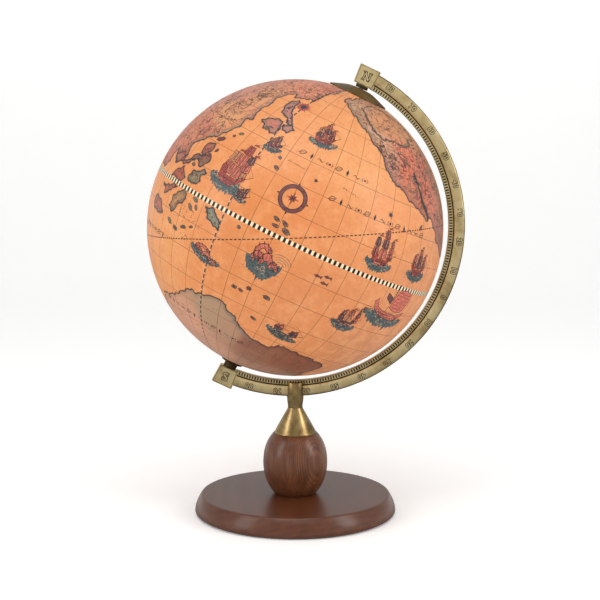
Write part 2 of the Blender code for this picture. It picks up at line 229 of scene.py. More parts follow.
def walnut_look(name, pith, lean, ring, shades, contrast, figure):
    """Walnut: growth rings about a pith line outside the wood, pores along it, and a satin lacquer."""
    look = Look(name, Coat_Weight=0.42, Coat_Roughness=0.22, Specular_IOR_Level=0.3)
    place = look.place(shift=(-pith[0], -pith[1], 0), turn=(lean[0], lean[1], 0))

    def along(share):
        """The same place, squeezed along the grain."""
        return look.add("VectorMath", (0, place), (1, (1, 1, share)), operation="MULTIPLY").outputs[0]

    sway = look.noise(along(0.4), 16.0, 2.0, 0.5)
    parts = look.add("SeparateXYZ", (0, place)).outputs
    squares = [look.times(part, part) for part in parts[:2]]
    across = look.math("SQRT", look.math("ADD", *squares))
    across = look.math("MULTIPLY_ADD", sway, 0.010, across)
    rings = look.math("DIVIDE", look.math("PINGPONG", across, ring), ring)
    streak = look.noise(along(0.12), 110.0, 4.0, 0.62)
    fibre = look.noise(along(0.035), 1500.0, 2.0, 0.5)
    grain = look.math("MULTIPLY_ADD", rings, contrast, 0.4 - 0.5 * (contrast + figure))
    grain = look.math("MULTIPLY_ADD", streak, figure, grain)
    grain = look.math("MULTIPLY_ADD", fibre, 0.22, grain)
    colour = look.ramp(grain, (0.28, shades[0]), (0.50, shades[1]), (0.74, shades[2]))
    colour = look.stain(colour, rgb(38, 20, 14), 0.35, look.step(fibre, 0.62, 0.72))
    look.out("Base Color", colour)
    look.out("Roughness", look.math("MULTIPLY_ADD", streak, 0.14, 0.34))
    look.out("Normal", look.bump(fibre, 0.015 * MM, 0.4))
    return look.material


def plain_look(name, colour, roughness, metal=0.0, grain=900.0, relief=0.02, spread=0.25):
    """A plain surface with fine mottling, for felt, plastic and steel."""
    look = Look(name, Metallic=metal)
    noise = look.noise(look.place(), grain, 4.0, 0.6)
    dark = tuple(c * (1 - spread) for c in colour[:3]) + (1,)
    look.out("Base Color", look.mix(look.step(noise, 0.35, 0.65), dark, colour))
    look.out("Roughness", look.math("MULTIPLY_ADD", noise, 0.2, roughness - 0.1))
    look.out("Normal", look.bump(noise, relief * MM))
    return look.material


SEA_INK = rgb(54, 46, 48)
EQUATOR_HALF, DEGREE = 0.82, math.pi / 180 * GLOBE_R / MM  # degrees, and mm in one degree
GRID_STEP = 10.0  # degrees between two lines of the printed grid
GRID_START = 165.0
ECLIPTIC_START, ECLIPTIC_SLOPE = 177.8, 0.514  # where it crosses the equator, and the tangent of its lean
DASHED_MERIDIAN = 154.6
VARNISH = {
    "Specular_IOR_Level": 0.35, "Coat_Weight": 0.12, "Coat_Roughness": 0.30,
    "Sheen_Weight": 0.10, "Sheen_Roughness": 0.25,
}


def sea_colour(look, coarse, middle):
    """The sea in its tint, which darkens towards the ball's right and lower edge as painted shade, with paler
    and darker blotches of aged paper.
    """
    # this tint carries painted shade, darker towards the ball's right and lower edge
    sea = look.attribute("sea_tint_and_shade", "Color")
    sea = look.stain(sea, rgb(244, 174, 118), 0.35, look.step(coarse, 0.42, 0.66))
    return look.stain(sea, rgb(206, 116, 62), 0.32, look.step(middle, 0.48, 0.70))


def land_colour(look, place, middle, shore):
    """Land in its tint, which darkens towards the ball's right and lower edge as painted shade, streaked, with
    a tinted border, and inked ridges and rivers where it is rugged.
    """
    # this tint carries painted shade, darker towards the ball's right and lower edge
    ground = look.attribute("land_tint_and_shade", "Color")
    streaks = look.noise(look.place(scale=(1.0, 1.0, 2.2), turn=(0, 0.5, 0)), 120.0, 4.0, 0.7)
    ground = look.stain(ground, rgb(196, 92, 70), 0.22, look.step(streaks, 0.54, 0.66))
    ground = look.stain(ground, rgb(136, 116, 82), 0.40, look.under(streaks, 0.34, 0.46))
    rugged = look.attribute("rugged", "Fac")
    cell = look.add("TexVoronoi", ("Vector", place), ("Scale", 210.0), ("Randomness", 0.9))
    ridge = look.under(look.off(cell.outputs["Distance"], 0.34), 0.05, 0.10)
    ridge = look.times(ridge, look.step(middle, 0.42, 0.56))
    ridge = look.times(ridge, look.step(rugged, 0.05, 0.60))
    ground = look.stain(ground, rgb(84, 54, 48), 0.55, ridge)
    for seed, level, width in ((0.0, 0.50, 0.007), (7.0, 0.47, 0.006)):
        winding = look.noise(look.place(shift=(seed, seed, 0)), 34.0, 3.0, 0.62, 0.6)
        river = look.times(look.under(look.off(winding, level), width, width * 2.2), 0.7)
        river = look.times(river, look.step(rugged, 0.02, 0.25))
        ground = look.mix(river, ground, rgb(78, 54, 50))
    specks = look.noise(look.place(scale=(1.6, 1.6, 1.0)), 620.0, 2.0, 0.7)
    specks = look.times(look.step(specks, 0.60, 0.66), look.step(rugged, 0.0, 0.5))
    ground = look.stain(ground, rgb(92, 60, 50), 0.5, specks)
    band = look.times(look.under(shore, 1.0, 6.0), 0.75)
    return look.mix(band, ground, look.attribute("shore_tint", "Color"))


def printed_lines(look, colour, lon, lat, coarse):
    """The degree grid, the dashed ecliptic, and the dashed meridian in its pale band."""
    narrow = look.math("COSINE", look.math("RADIANS", lat))
    line = look.math("PINGPONG", look.math("SUBTRACT", lon, GRID_START), GRID_STEP / 2)
    line = look.times(look.times(line, narrow), DEGREE)
    across = look.times(look.math("PINGPONG", lat, GRID_STEP / 2), DEGREE)
    fade = look.math("MULTIPLY_ADD", look.step(coarse, 0.3, 0.6), 0.30, 0.58)
    grid = look.times(look.under(look.math("MINIMUM", line, across), 0.16, 0.34), fade)
    colour = look.mix(grid, colour, rgb(104, 58, 34))

    path = look.math("SINE", look.math("RADIANS", look.math("SUBTRACT", lon, ECLIPTIC_START)))
    path = look.math("DEGREES", look.math("ARCTANGENT", look.times(path, ECLIPTIC_SLOPE)))
    path = look.math("ABSOLUTE", look.math("SUBTRACT", lat, path))
    dash = look.under(look.math("PINGPONG", lon, 0.76), 0.43, 0.52)
    colour = look.mix(look.times(look.under(path, 0.18, 0.27), dash), colour, rgb(40, 26, 20))

    date = look.times(look.times(look.off(lon, DASHED_MERIDIAN), narrow), DEGREE)
    colour = look.stain(colour, rgb(235, 205, 180), 0.25, look.under(date, 0.8, 1.2))
    dash = look.under(look.math("PINGPONG", lat, 1.2), 0.72, 0.85)
    return look.mix(look.times(look.under(date, 0.58, 0.82), dash), colour, rgb(36, 28, 26))


def shore_ink(look, colour, lat, shore, land, fine):
    """An inked shore line, and fine hatching in the water beside it."""
    coast = look.under(look.math("ABSOLUTE", shore), 0.55, 0.95)
    coast = look.times(coast, look.math("MULTIPLY_ADD", fine, 0.4, 0.75))
    colour = look.mix(coast, colour, SEA_INK)
    hatch = look.under(look.math("PINGPONG", lat, 0.28), 0.06, 0.13)
    near = look.times(look.step(shore, -2.6, -0.6), look.math("SUBTRACT", 1.0, land))
    return look.stain(colour, SEA_INK, 0.55, look.times(hatch, near))


def equator_scale(look, colour, lon, lat):
    """The equator as a band of pale and dark degrees."""
    scale = look.under(look.math("ABSOLUTE", lat), EQUATOR_HALF, EQUATOR_HALF + 0.06)
    blocks = look.under(look.math("PINGPONG", look.math("SUBTRACT", lon, 177.0), 1.0), 0.47, 0.53)
    return look.mix(scale, colour, look.mix(blocks, rgb(244, 224, 188), rgb(26, 18, 18)))


def map_look():
    """The printed map: tinted sea and land, an inked shore, and the lines of the globe over them."""
    look = Look("map_print", **VARNISH)
    place = look.place()
    lon_lat = look.add("UVMap", uv_map="lon_lat").outputs[0]
    lon, lat, _ = look.add("SeparateXYZ", (0, lon_lat)).outputs
    coarse = look.noise(place, 70.0, 3.0, 0.6)
    middle = look.noise(place, 230.0, 4.0, 0.65)
    fine = look.noise(place, 1100.0, 3.0, 0.6)
    shore = look.attribute("shore", "Fac")
    shore = look.math("MULTIPLY_ADD", look.math("SUBTRACT", middle, 0.5), 1.3, shore)
    land = look.step(shore, -0.12, 0.12)
    colour = look.mix(land, sea_colour(look, coarse, middle), land_colour(look, place, middle, shore))
    colour = printed_lines(look, colour, lon, lat, coarse)
    colour = shore_ink(look, colour, lat, shore, land, fine)
    colour = equator_scale(look, colour, lon, lat)
    colour = look.stain(colour, rgb(120, 64, 36), 0.16, look.step(fine, 0.45, 0.75))
    look.out("Base Color", colour)
    look.out("Sheen Tint", rgb(200, 176, 204))
    look.out("Roughness", look.math("MULTIPLY_ADD", middle, 0.16, 0.38))
    look.out("Normal", look.bump(fine, 0.012 * MM, 0.5))
    return look.material


def ink_look(name, colour):
    """One printing ink of the small drawings, uneven as a block print."""
    look = Look("ink_" + name, **VARNISH)
    place = look.place()
    middle = look.noise(place, 420.0, 4.0, 0.7)
    fine = look.noise(place, 1300.0, 2.0, 0.6)
    shade = tuple(c * 0.55 for c in colour[:3]) + (1,)
    tint = tuple(min(1.0, c * 1.35 + 0.02) for c in colour[:3]) + (1,)
    mixed = look.ramp(middle, (0.34, shade), (0.50, colour), (0.68, tint))
    look.out("Base Color", look.stain(mixed, shade, 0.2, look.step(fine, 0.5, 0.8)))
    look.out("Roughness", look.math("MULTIPLY_ADD", middle, 0.16, 0.38))
    return look.material


BRASS = brass_look("antique_brass", rgb(224, 199, 146), rgb(244, 224, 176), rgb(178, 152, 104), 0.31)
AGED_BRASS = brass_look("aged_brass", rgb(150, 124, 82), rgb(200, 172, 120), rgb(92, 72, 46), 0.30)
WORN_BRASS = brass_look("worn_brass", rgb(222, 200, 150), rgb(244, 226, 182), rgb(186, 162, 114), 0.30, 0.3)
PATINA = brass_look("brass_patina", rgb(74, 60, 38), rgb(104, 86, 54), rgb(46, 36, 24), 0.5)
DARK_BRASS = brass_look("dark_brass", rgb(118, 96, 62), rgb(150, 126, 84), rgb(78, 62, 40), 0.42)
WOOD_SHADES = rgb(64, 34, 19), rgb(106, 61, 36), rgb(144, 90, 56)
BASE_SHADES = rgb(56, 28, 14), rgb(90, 47, 25), rgb(118, 66, 36)
BULB_WOOD = walnut_look(
    "walnut_bulb", (0.0760, -0.0740), (0.06, 0.03), 0.0011, WOOD_SHADES, 0.13, 0.6
)
BASE_WOOD = walnut_look(
    "walnut_base", (0.0400, 0.3500), (math.pi / 2, 0.1), 0.0030, BASE_SHADES, 0.06, 0.3
)
FELT = plain_look("felt", rgb(38, 34, 32), 0.95, grain=2500.0, relief=0.2, spread=0.5)
STEEL = plain_look("steel", rgb(170, 170, 172), 0.35, metal=1.0)
NYLON = plain_look("nylon", rgb(205, 198, 184), 0.55)
SHELL = plain_look("shell_plastic", rgb(196, 186, 168), 0.6)


# ---------------------------------------------------------------- mesh helpers


def finish_piece(name, mesh, material, body, replaces=(), sharp=35.0, normals=None):
    """Makes the mesh a smooth piece that rides a body; edges over an angle in degrees stay sharp."""
    mesh.materials.clear()
    mesh.materials.append(material)
    mesh.polygons.foreach_set("use_smooth", [True] * len(mesh.polygons))
    if normals is None:
        mesh.set_sharp_from_angle(angle=math.radians(sharp))
    else:
        mesh.normals_split_custom_set_from_vertices(normals)
    made = linked(name, mesh)
    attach(made, body)
    if replaces:
        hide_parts(*replaces)


def eased(points, cuts):
    """A Catmull-Rom curve through the points."""
    points = [Vector(p) for p in points]
    padded = [2 * points[0] - points[1], *points, 2 * points[-1] - points[-2]]
    made = []
    for a, b, c, d in zip(padded, padded[1:], padded[2:], padded[3:]):
        for t in (k / cuts for k in range(cuts)):
            bend, twist = 2 * a - 5 * b + 4 * c - d, 3 * b - a - 3 * c + d
            made.append(0.5 * (2 * b + (c - a) * t + bend * t * t + twist * t**3))
    return [tuple(p) for p in made] + [tuple(points[-1])]


def lathe_mesh(name, profile, steps=160, place=None):
    """A closed body turned about local Z from (radius, z) points; its two ends lie on the axis."""
    made = bmesh.new()
    rings = []
    for radius, z in profile:
        around = circle(radius, steps) if radius else [(0, 0)]
        rings.append([made.verts.new((x, y, z)) for x, y in around])
    for first, second in zip(rings, rings[1:]):
        for k in range(steps):
            n = (k + 1) % steps
            corners = [ring[j % len(ring)] for ring, j in ((first, k), (second, k), (second, n), (first, n))]
            made.faces.new(list(dict.fromkeys(corners)))
    bmesh.ops.recalc_face_normals(made, faces=made.faces)
    made.transform(place or Matrix())
    return as_mesh(made, name)


def lathe(name, profile, material, body, replaces, steps=160, place=None, sharp=28.0):
    finish_piece(name, lathe_mesh(name, profile, steps, place), material, body, replaces, sharp)


def bevel(mesh, width, segments):
    """Rounds the edges between faces that lie more than 40 degrees apart."""
    made = bmesh.new()
    made.from_mesh(mesh)
    edges = [e for e in made.edges if len(e.link_faces) == 2 and e.calc_face_angle() > math.radians(40)]
    bmesh.ops.bevel(made, geom=edges, offset=width, segments=segments, affect="EDGES", clamp_overlap=True)
    made.to_mesh(mesh)
    made.free()


def turn_outward(mesh):
    """Makes every face of the closed shells look outward."""
    made = bmesh.new()
    made.from_mesh(mesh)
    bmesh.ops.recalc_face_normals(made, faces=made.faces)
    made.to_mesh(mesh)
    made.free()


def joined(name, meshes):
    """One mesh that holds several, each as its own closed shell."""
    made = bmesh.new()
    for mesh in meshes:
        made.from_mesh(mesh)
        bpy.data.meshes.remove(mesh)
    return as_mesh(made, name)


# ---------------------------------------------------------------- stand


# Turned profiles, as (radius, height) in metres.
BASE_SIDE = [
    (0.1066, 0.0223), (0.1075, 0.0217), (0.1101, 0.0176), (0.1125, 0.0126),
    (0.1139, 0.0080), (0.1144, 0.0045), (0.1140, 0.0026), (0.1128, 0.0016),
]
BASE = [(0, 0.0226), (0.1040, 0.0226), (0.1058, 0.02255), *eased(BASE_SIDE, 6), (0.1120, 0.0013), (0, 0.0013)]
FELT_PAD = [(0, 0.0012), (0.1096, 0.0012), (0.1100, 0.0009), (0.1100, 0.0002), (0.1097, 0), (0, 0)]
BULB_SIDE = [
    (0.0237, 0.0929), (0.0249, 0.0926), (0.0285, 0.0882), (0.0324, 0.0812), (0.0353, 0.0720),
    (0.0365, 0.0610),
    (0.0361, 0.0510), (0.0343, 0.0420), (0.0310, 0.0335), (0.0270, 0.0270), (0.0234, 0.0229),
]
BULB = [(0, 0.0927), *eased(BULB_SIDE, 8)[1:], (0, 0.0227)]
FERRULE = [
    (0, 0.1225), (0.0078, 0.1225), (0.0083, 0.1223), (0.0085, 0.1219), (0.0086, 0.1213), (0.0231, 0.0952),
    (0.0234, 0.0945), (0.0236, 0.0938), (0.0237, 0.0933), (0.0236, 0.0930), (0.0232, 0.0928), (0, 0.0928),
]
POST = [
    (0, 0.1516), (0.0089, 0.1516), (0.0094, 0.1514), (0.0096, 0.1510), (0.0095, 0.1400), (0.0094, 0.1340),
    (0.0092, 0.1305), (0.0089, 0.1280), (0.0084, 0.1250), (0.0083, 0.1228), (0.0080, 0.1226), (0, 0.1226),
]
POST_TOP = 0.17  # above the post
SLOT_GAP = 0.0002  # between the arm and the post's slot
SCREW_HEAD = 0.0018  # thickness
SCREW_SLOT = 0.0004  # half the width of a driver's slot


def build_stand():
    """The turned base, bulb and cone, the felt pad, and the post that holds the arm in its slot."""
    lathe("base_turned", BASE, BASE_WOOD, "stand", ["base_disc"], steps=256, sharp=40)
    lathe("base_felt_pad", FELT_PAD, FELT, "stand", ["base_felt"])
    lathe("bulb_turned", BULB, BULB_WOOD, "stand", ["stem_bulb"], steps=192)
    lathe("ferrule_cone", FERRULE, AGED_BRASS, "stand", ["stem_ferrule"], sharp=20)
    wide, floor = ARM_T / 2 + SLOT_GAP, GLOBE_Z + (POLAR.to_3x3() @ ARM_CENTRE).z - ARM_OUT_R - SLOT_GAP
    post = cut_box(lathe_mesh("saddle_post", POST, 96), (-0.03, -wide, floor), (0.03, wide, POST_TOP))
    finish_piece("saddle_post", post, AGED_BRASS, "stand", ["meridian_saddle"], 30)
    screw_head("saddle_screw_head", 0.0034, Matrix.Translation((0, 0.0080, 0.1440)), ["saddle_screw"])


def cut_box(mesh, low, high):
    """The mesh with a box taken out, by an exact Boolean."""
    low, high = Vector(low), Vector(high)
    made = bmesh.new()
    place = Matrix.Translation((low + high) / 2) @ Matrix.Diagonal((*(high - low), 1))
    bmesh.ops.create_cube(made, size=1, matrix=place)
    owner, cutter = linked("cut", mesh), linked("cutter", as_mesh(made, "cutter"))
    modifier = owner.modifiers.new("cut", "BOOLEAN")
    modifier.object, modifier.operation, modifier.solver = cutter, "DIFFERENCE", "EXACT"
    result = evaluated_mesh(owner)
    for used in (owner, cutter):
        bpy.data.objects.remove(used)
    return result


def screw_head(name, radius, place, replaces):
    """A slotted cheese head that faces local +Y."""
    t = SCREW_HEAD
    profile = [(0, t), (radius * 0.62, t), (radius * 0.88, t * 0.93), (radius, t * 0.66), (radius, 0), (0, 0)]
    head = cut_box(lathe_mesh(name, profile, 64), (-0.01, -SCREW_SLOT, t * 0.55), (0.01, SCREW_SLOT, 0.01))
    head.transform(place @ Matrix.Rotation(-math.pi / 2, 4, "X"))
    finish_piece(name, head, BRASS, "stand", replaces, 30)


# ---------------------------------------------------------------- meridian arm and blocks

GLYPH_OUTLINES = {
    # The serif capitals of the two poles, as strokes (x, y, half width) on a letter one unit high.
    "N": [
        [(-0.34, -0.45, 0.05), (-0.34, 0.45, 0.05)],
        [(0.34, -0.45, 0.05), (0.34, 0.45, 0.05)],
        [(-0.34, 0.42, 0.09), (0.34, -0.42, 0.09)],
        [(-0.50, 0.47, 0.03), (-0.22, 0.47, 0.03)],
        [(0.20, 0.47, 0.03), (0.48, 0.47, 0.03)],
        [(-0.48, -0.47, 0.03), (-0.20, -0.47, 0.03)],
    ],
    "S": [
        [
            (0.25, 0.26, 0.03), (0.17, 0.40, 0.05), (-0.01, 0.46, 0.06), (-0.19, 0.40, 0.08),
            (-0.26, 0.26, 0.09), (-0.20, 0.12, 0.10), (0.0, 0.0, 0.11), (0.20, -0.12, 0.10),
            (0.27, -0.26, 0.09), (0.20, -0.40, 0.08), (0.0, -0.46, 0.06), (-0.19, -0.40, 0.05),
            (-0.27, -0.25, 0.03),
        ],
        [(0.26, 0.47, 0.025), (0.26, 0.20, 0.025)],
        [(-0.28, -0.47, 0.025), (-0.28, -0.20, 0.025)],
    ],
}


def stroke_outline(points):
    """The outline of a stroke given as (x, y, half width)."""
    left, right = [], []
    for k, (x, y, half) in enumerate(points):
        a, b = points[max(0, k - 1)], points[min(len(points) - 1, k + 1)]
        along = Vector((b[0] - a[0], b[1] - a[1])).normalized()
        side = Vector((-along.y, along.x)) * half
        left.append((x + side.x, y + side.y))
        right.append((x - side.x, y - side.y))
    return left + right[::-1]


def raised(outline, height):
    """A raised stroke: the outline drawn out to its height, from a little below the face it stands on."""
    made = bmesh.new()
    low = [made.verts.new((x, y, -height * 0.5)) for x, y in outline]
    high = [made.verts.new((x, y, height)) for x, y in outline]
    for k in range(len(outline)):
        n = (k + 1) % len(outline)
        made.faces.new((low[k], low[n], high[n], high[k]))
    top = made.faces.new(high)
    made.faces.new(low[::-1])
    bmesh.ops.recalc_face_normals(made, faces=made.faces)
    bmesh.ops.triangulate(made, faces=[top])
    return as_mesh(made, "stroke")


def letter(name, size, height, widen):
    """A pole's letter in relief; widen makes its strokes wider and longer, for the dark edge round it, which is
    painted shade round the relief, with tarnish.
    """
    strokes = []
    for points in GLYPH_OUTLINES[name]:
        if len(points) > 2:
            points = eased(points, 4)
        points = [(x, y, w + widen) for x, y, w in points]
        for end, inner in ((0, 1), (-1, -2)):
            tip = Vector(points[end][:2])
            tip += (tip - Vector(points[inner][:2])).normalized() * widen
            points[end] = (*tip, points[end][2])
        outline = stroke_outline([(x * size, y * size, w * size) for x, y, w in points])
        strokes.append(raised(outline, height))
    return joined(name, strokes)


def digits(text, size, height, widen):
    """A number in relief, from Blender's own font."""
    curve = bpy.data.curves.new("digits", "FONT")
    curve.body, curve.size, curve.offset = text, size, widen
    curve.align_x, curve.align_y = "CENTER", "CENTER"
    curve.space_character = 1.12
    curve.extrude, curve.bevel_depth, curve.bevel_resolution = height, height * 0.35, 1
    curve.resolution_u = 4
    holder = linked("digits", curve)
    mesh = evaluated_mesh(holder)
    bpy.data.objects.remove(holder)
    return mesh


def facing(origin, up, side):
    """The matrix that stands a flat drawing at origin, its Y along up, facing -Y (side -1) or +Y (side 1)."""
    out = Vector((0, side, 0))
    right = Vector(up).cross(out)
    turn = Matrix((right, up, out)).transposed().to_4x4()
    return Matrix.Translation(origin) @ turn


ARM_END, ARM_STEPS = 86.0, 344  # degrees from the middle of the arm, and cuts along it
SCALE_IN, SCALE_OUT = 0.1753, 0.1786
GROOVE_IN, GROOVE_OUT = 0.1792, 0.1812
SCALE_FLOOR = 0.0007  # depth of the scale and of the groove
NUMBER_R, NUMBER_SIZE = 0.1870, 0.0080
NUMBER_EDGE = 0.00075  # how far the dark edge of a number, painted shade round its relief with tarnish, reaches past it
LETTER_SIZE = 0.0092
LETTER_EDGE = 0.085  # the same for a letter, as a share of its size
RIM_INSET, RIM_HALF = 0.0011, 0.00018  # the dark line round a block's face, painted shade of its edge
BLOCK_BEVEL = 0.0007
FILM = 0.00003  # a dark film of tarnish and painted shade stands this far off the brass


def arc_band(profile):
    """A closed (radius, y) profile swept along the arm."""
    verts, faces, count = [], [], len(profile)
    for k in range(ARM_STEPS + 1):
        a = math.radians(-ARM_END + 2 * ARM_END * k / ARM_STEPS)
        verts += [(r * math.cos(a), y, r * math.sin(a)) for r, y in profile]
    for k in range(ARM_STEPS):
        for j in range(count):
            n = (j + 1) % count
            faces.append((k * count + j, k * count + n, (k + 1) * count + n, (k + 1) * count + j))
    faces += [tuple(range(count)), tuple(range(ARM_STEPS * count, ARM_STEPS * count + count))]
    mesh = bpy.data.meshes.new("band")
    mesh.from_pydata(verts, [], faces)
    return mesh


def finish_brass(names, groups, nodes, place):
    """Puts a casting, its dark films of tarnish and painted shade, and its worn marks in place as three pieces.
    """
    kinds = (BRASS, "antique_brass"), (PATINA, "dark_brass"), (WORN_BRASS, "antique_brass")
    for name, meshes, (look, slot) in zip(names, groups, kinds):
        whole = joined(name, meshes)
        turn_outward(whole)
        whole.transform(place)
        finish_piece(name, whole, look, "stand", nodes, 30)


def build_arm():
    """The half meridian, with its degree scale, groove and numbers, and dark films of tarnish and painted shade
    in their recesses, along its edges and round its numbers.
    """
    half = ARM_T / 2
    lip, slope, sunk = half - 0.0001, half - 0.0006, half - SCALE_FLOOR
    face = [
        (ARM_IN_R, half - 0.0008), (ARM_IN_R + 0.0005, lip), (SCALE_IN - 0.0001, lip), (SCALE_IN, sunk),
        (SCALE_OUT, sunk), (SCALE_OUT + 0.0001, lip), (GROOVE_IN, lip), (GROOVE_IN + 0.0004, slope),
        (GROOVE_IN + 0.0010, sunk), (GROOVE_OUT - 0.0004, slope), (GROOVE_OUT, half - 0.0003),
        (0.1830, lip), (0.1850, half), (0.1885, half), (0.1905, lip), (ARM_OUT_R - 0.0013, half - 0.0003),
        (ARM_OUT_R - 0.0003, half - 0.0011), (ARM_OUT_R, half - 0.0017),
    ]
    # dark films of tarnish and painted shade: along the inner and outer edges, on the floor of the scale and in
    # the groove
    films = [  # a strip from one (radius, y) to another
        (ARM_IN_R + 0.0001, half - 0.0007, ARM_IN_R + 0.0005, lip),
        (SCALE_IN, sunk, SCALE_OUT, sunk),
        (GROOVE_IN + 0.0004, slope, GROOVE_IN + 0.0010, sunk),
        (GROOVE_IN + 0.0010, sunk, GROOVE_OUT - 0.0004, slope),
        (ARM_OUT_R - 0.0011, half - 0.00046, ARM_OUT_R - 0.0003, half - 0.0011),
    ]
    cast = [arc_band(face + [(r, -y) for r, y in reversed(face)])]
    dark, worn = [], []
    for side in (-1, 1):
        for r_in, y_in, r_out, y_out in films:
            edge = ((r_in, y_in, -2), (r_in, y_in, 1), (r_out, y_out, 1), (r_out, y_out, -2))
            dark.append(arc_band([(r, side * (y + rise * FILM)) for r, y, rise in edge]))
        for degree in range(-85, 86):
            worn.append(rung(math.radians(degree), side * half))
        for step in range(-8, 9):
            a = math.radians(10 * step)
            up = Vector((math.cos(a), 0, math.sin(a)))
            place = facing(up * NUMBER_R + Vector((0, side * half, 0)), up, side)
            # each number has a worn copy, and a wider dark copy behind it as painted shade round its relief,
            # with tarnish
            for group, height, widen in ((worn, 0.00016, 0.00010), (dark, FILM, NUMBER_EDGE)):
                number = digits(str(abs(step) * 10), NUMBER_SIZE, height, widen)
                number.transform(place)
                group.append(number)
    names = [f"meridian_arm_{kind}" for kind in ("ring", "patina_and_shade", "worn")]
    finish_brass(names, (cast, dark, worn), ["meridian_arm"], POLAR @ Matrix.Translation(ARM_CENTRE))


def rung(angle, y):
    """One degree bar of the arm's scale, a little below its face."""
    out = math.copysign(1, y)
    wide, slope = math.radians(0.23), math.radians(0.05)
    low, high = y - out * 0.00075, y - out * 0.00010
    inner, outer = SCALE_IN - 0.0002, SCALE_OUT + 0.0002
    verts = []
    for spread, level in ((wide + slope, low), (wide, high)):
        for r, turn in ((inner, -spread), (outer, -spread), (outer, spread), (inner, spread)):
            verts.append((r * math.cos(angle + turn), level, r * math.sin(angle + turn)))
    mesh = bpy.data.meshes.new("rung")
    mesh.from_pydata(
        verts, [], [(0, 1, 2, 3), (4, 5, 6, 7), (0, 1, 5, 4), (1, 2, 6, 5), (2, 3, 7, 6), (3, 0, 4, 7)]
    )
    return mesh


def build_block(pole, sign):
    """A pole's cast block, with its letter, a dark edge of painted shade and tarnish round the letter, and a
    dark line of painted shade round each face.
    """
    half = BLOCK_T / 2
    low, high = BLOCK_IN, BLOCK_IN + BLOCK_H
    corners = [
        (-BLOCK_W_IN / 2, low), (BLOCK_W_IN / 2, low), (BLOCK_W_OUT / 2, high), (-BLOCK_W_OUT / 2, high),
    ]
    verts = [(x, y, sign * z) for y in (-half, half) for x, z in corners]
    mesh = bpy.data.meshes.new(pole)
    mesh.from_pydata(
        verts, [], [(0, 1, 2, 3), (7, 6, 5, 4), (0, 4, 5, 1), (1, 5, 6, 2), (2, 6, 7, 3), (3, 7, 4, 0)]
    )
    turn_outward(mesh)
    bevel(mesh, BLOCK_BEVEL, 3)
    inset = 1 - 2 * RIM_INSET / BLOCK_W_IN
    rim = [(x * inset, z + (RIM_INSET if z == low else -RIM_INSET)) for x, z in corners]
    dark, worn = [], []
    for side in (-1, 1):
        place = facing((0, side * half, sign * (low + high) / 2), (0, 0, 1), side)
        # the letter has a worn copy, and a wider dark copy behind it as painted shade round its relief, with
        # tarnish
        for group, height, widen in ((worn, 0.00036, 0), (dark, FILM, LETTER_EDGE)):
            mark = letter(pole[0].upper(), LETTER_SIZE, height, widen)
            mark.transform(place)
            group.append(mark)
        # a dark line of painted shade round the face, along its edge
        for a, b in zip(rim, rim[1:] + rim[:1]):
            strip = raised(
                stroke_outline([(a[0], sign * a[1], RIM_HALF), (b[0], sign * b[1], RIM_HALF)]), FILM
            )
            strip.transform(facing((0, side * half, 0), (0, 0, 1), side))
            dark.append(strip)
    names = [f"{pole}_block_{kind}" for kind in ("cast", "patina_and_shade", "letters")]
    finish_brass(names, ([mesh], dark, worn), [f"{pole}_block"], POLAR)


POLES = ("north", 1), ("south", -1)
CAP_TOP = [
    (0, 0.1706), (0.0075, 0.1705), (0.0125, 0.1700), (0.0180, 0.1686), (0.0255, 0.1659), (0.0332, 0.1630),
]
CAP = [
    *eased(CAP_TOP, 5), (0.0337, 0.1627), (0.0338, 0.1623), (0.0336, 0.1617), (0.0200, 0.1634), (0, 0.1640),
]
COLLAR = [
    (0, -0.1682), (0.0115, -0.1682), (0.0123, -0.1680), (0.0125, -0.1675), (0.0125, -0.1640), (0, -0.1640),
]
NORTH_BUSH = [
    (0, 0.1748), (0.0064, 0.1748), (0.0070, 0.1744), (0.0070, 0.1716), (0.0066, 0.1712), (0, 0.1712),
]
SOUTH_BUSH = [
    (0, -0.1688), (0.0071, -0.1688), (0.0075, -0.1692), (0.0075, -0.1744), (0.0071, -0.1748), (0, -0.1748),
]

build_stand()
build_arm()
for pole, sign in POLES:
    build_block(pole, sign)
for pole, sign in POLES:
    spot = POLAR @ Vector((0.0088, BLOCK_T / 2, sign * (BLOCK_IN + 0.45 * BLOCK_H)))
    screw_head(f"{pole}_screw_head", 0.0028, Matrix.Translation(spot), [f"{pole}_block_screw"])
for name, profile, look, body, node in (
    ("north_cap", CAP, DARK_BRASS, "globe", "north_polar_cap"),
    ("south_collar", COLLAR, PATINA, "globe", "south_pole_collar"),
    ("north_bush", NORTH_BUSH, PATINA, "stand", "north_spacer"),
    ("south_bush", SOUTH_BUSH, PATINA, "stand", "south_spacer"),
):
    lathe(name, profile, look, body, [node], place=POLAR)


# ---------------------------------------------------------------- globe map

POLE_LAT = 88  # a shore point past this latitude only closes a shape over the pole
SHORE_STEP = 0.12  # degrees between the places a shore is sampled at

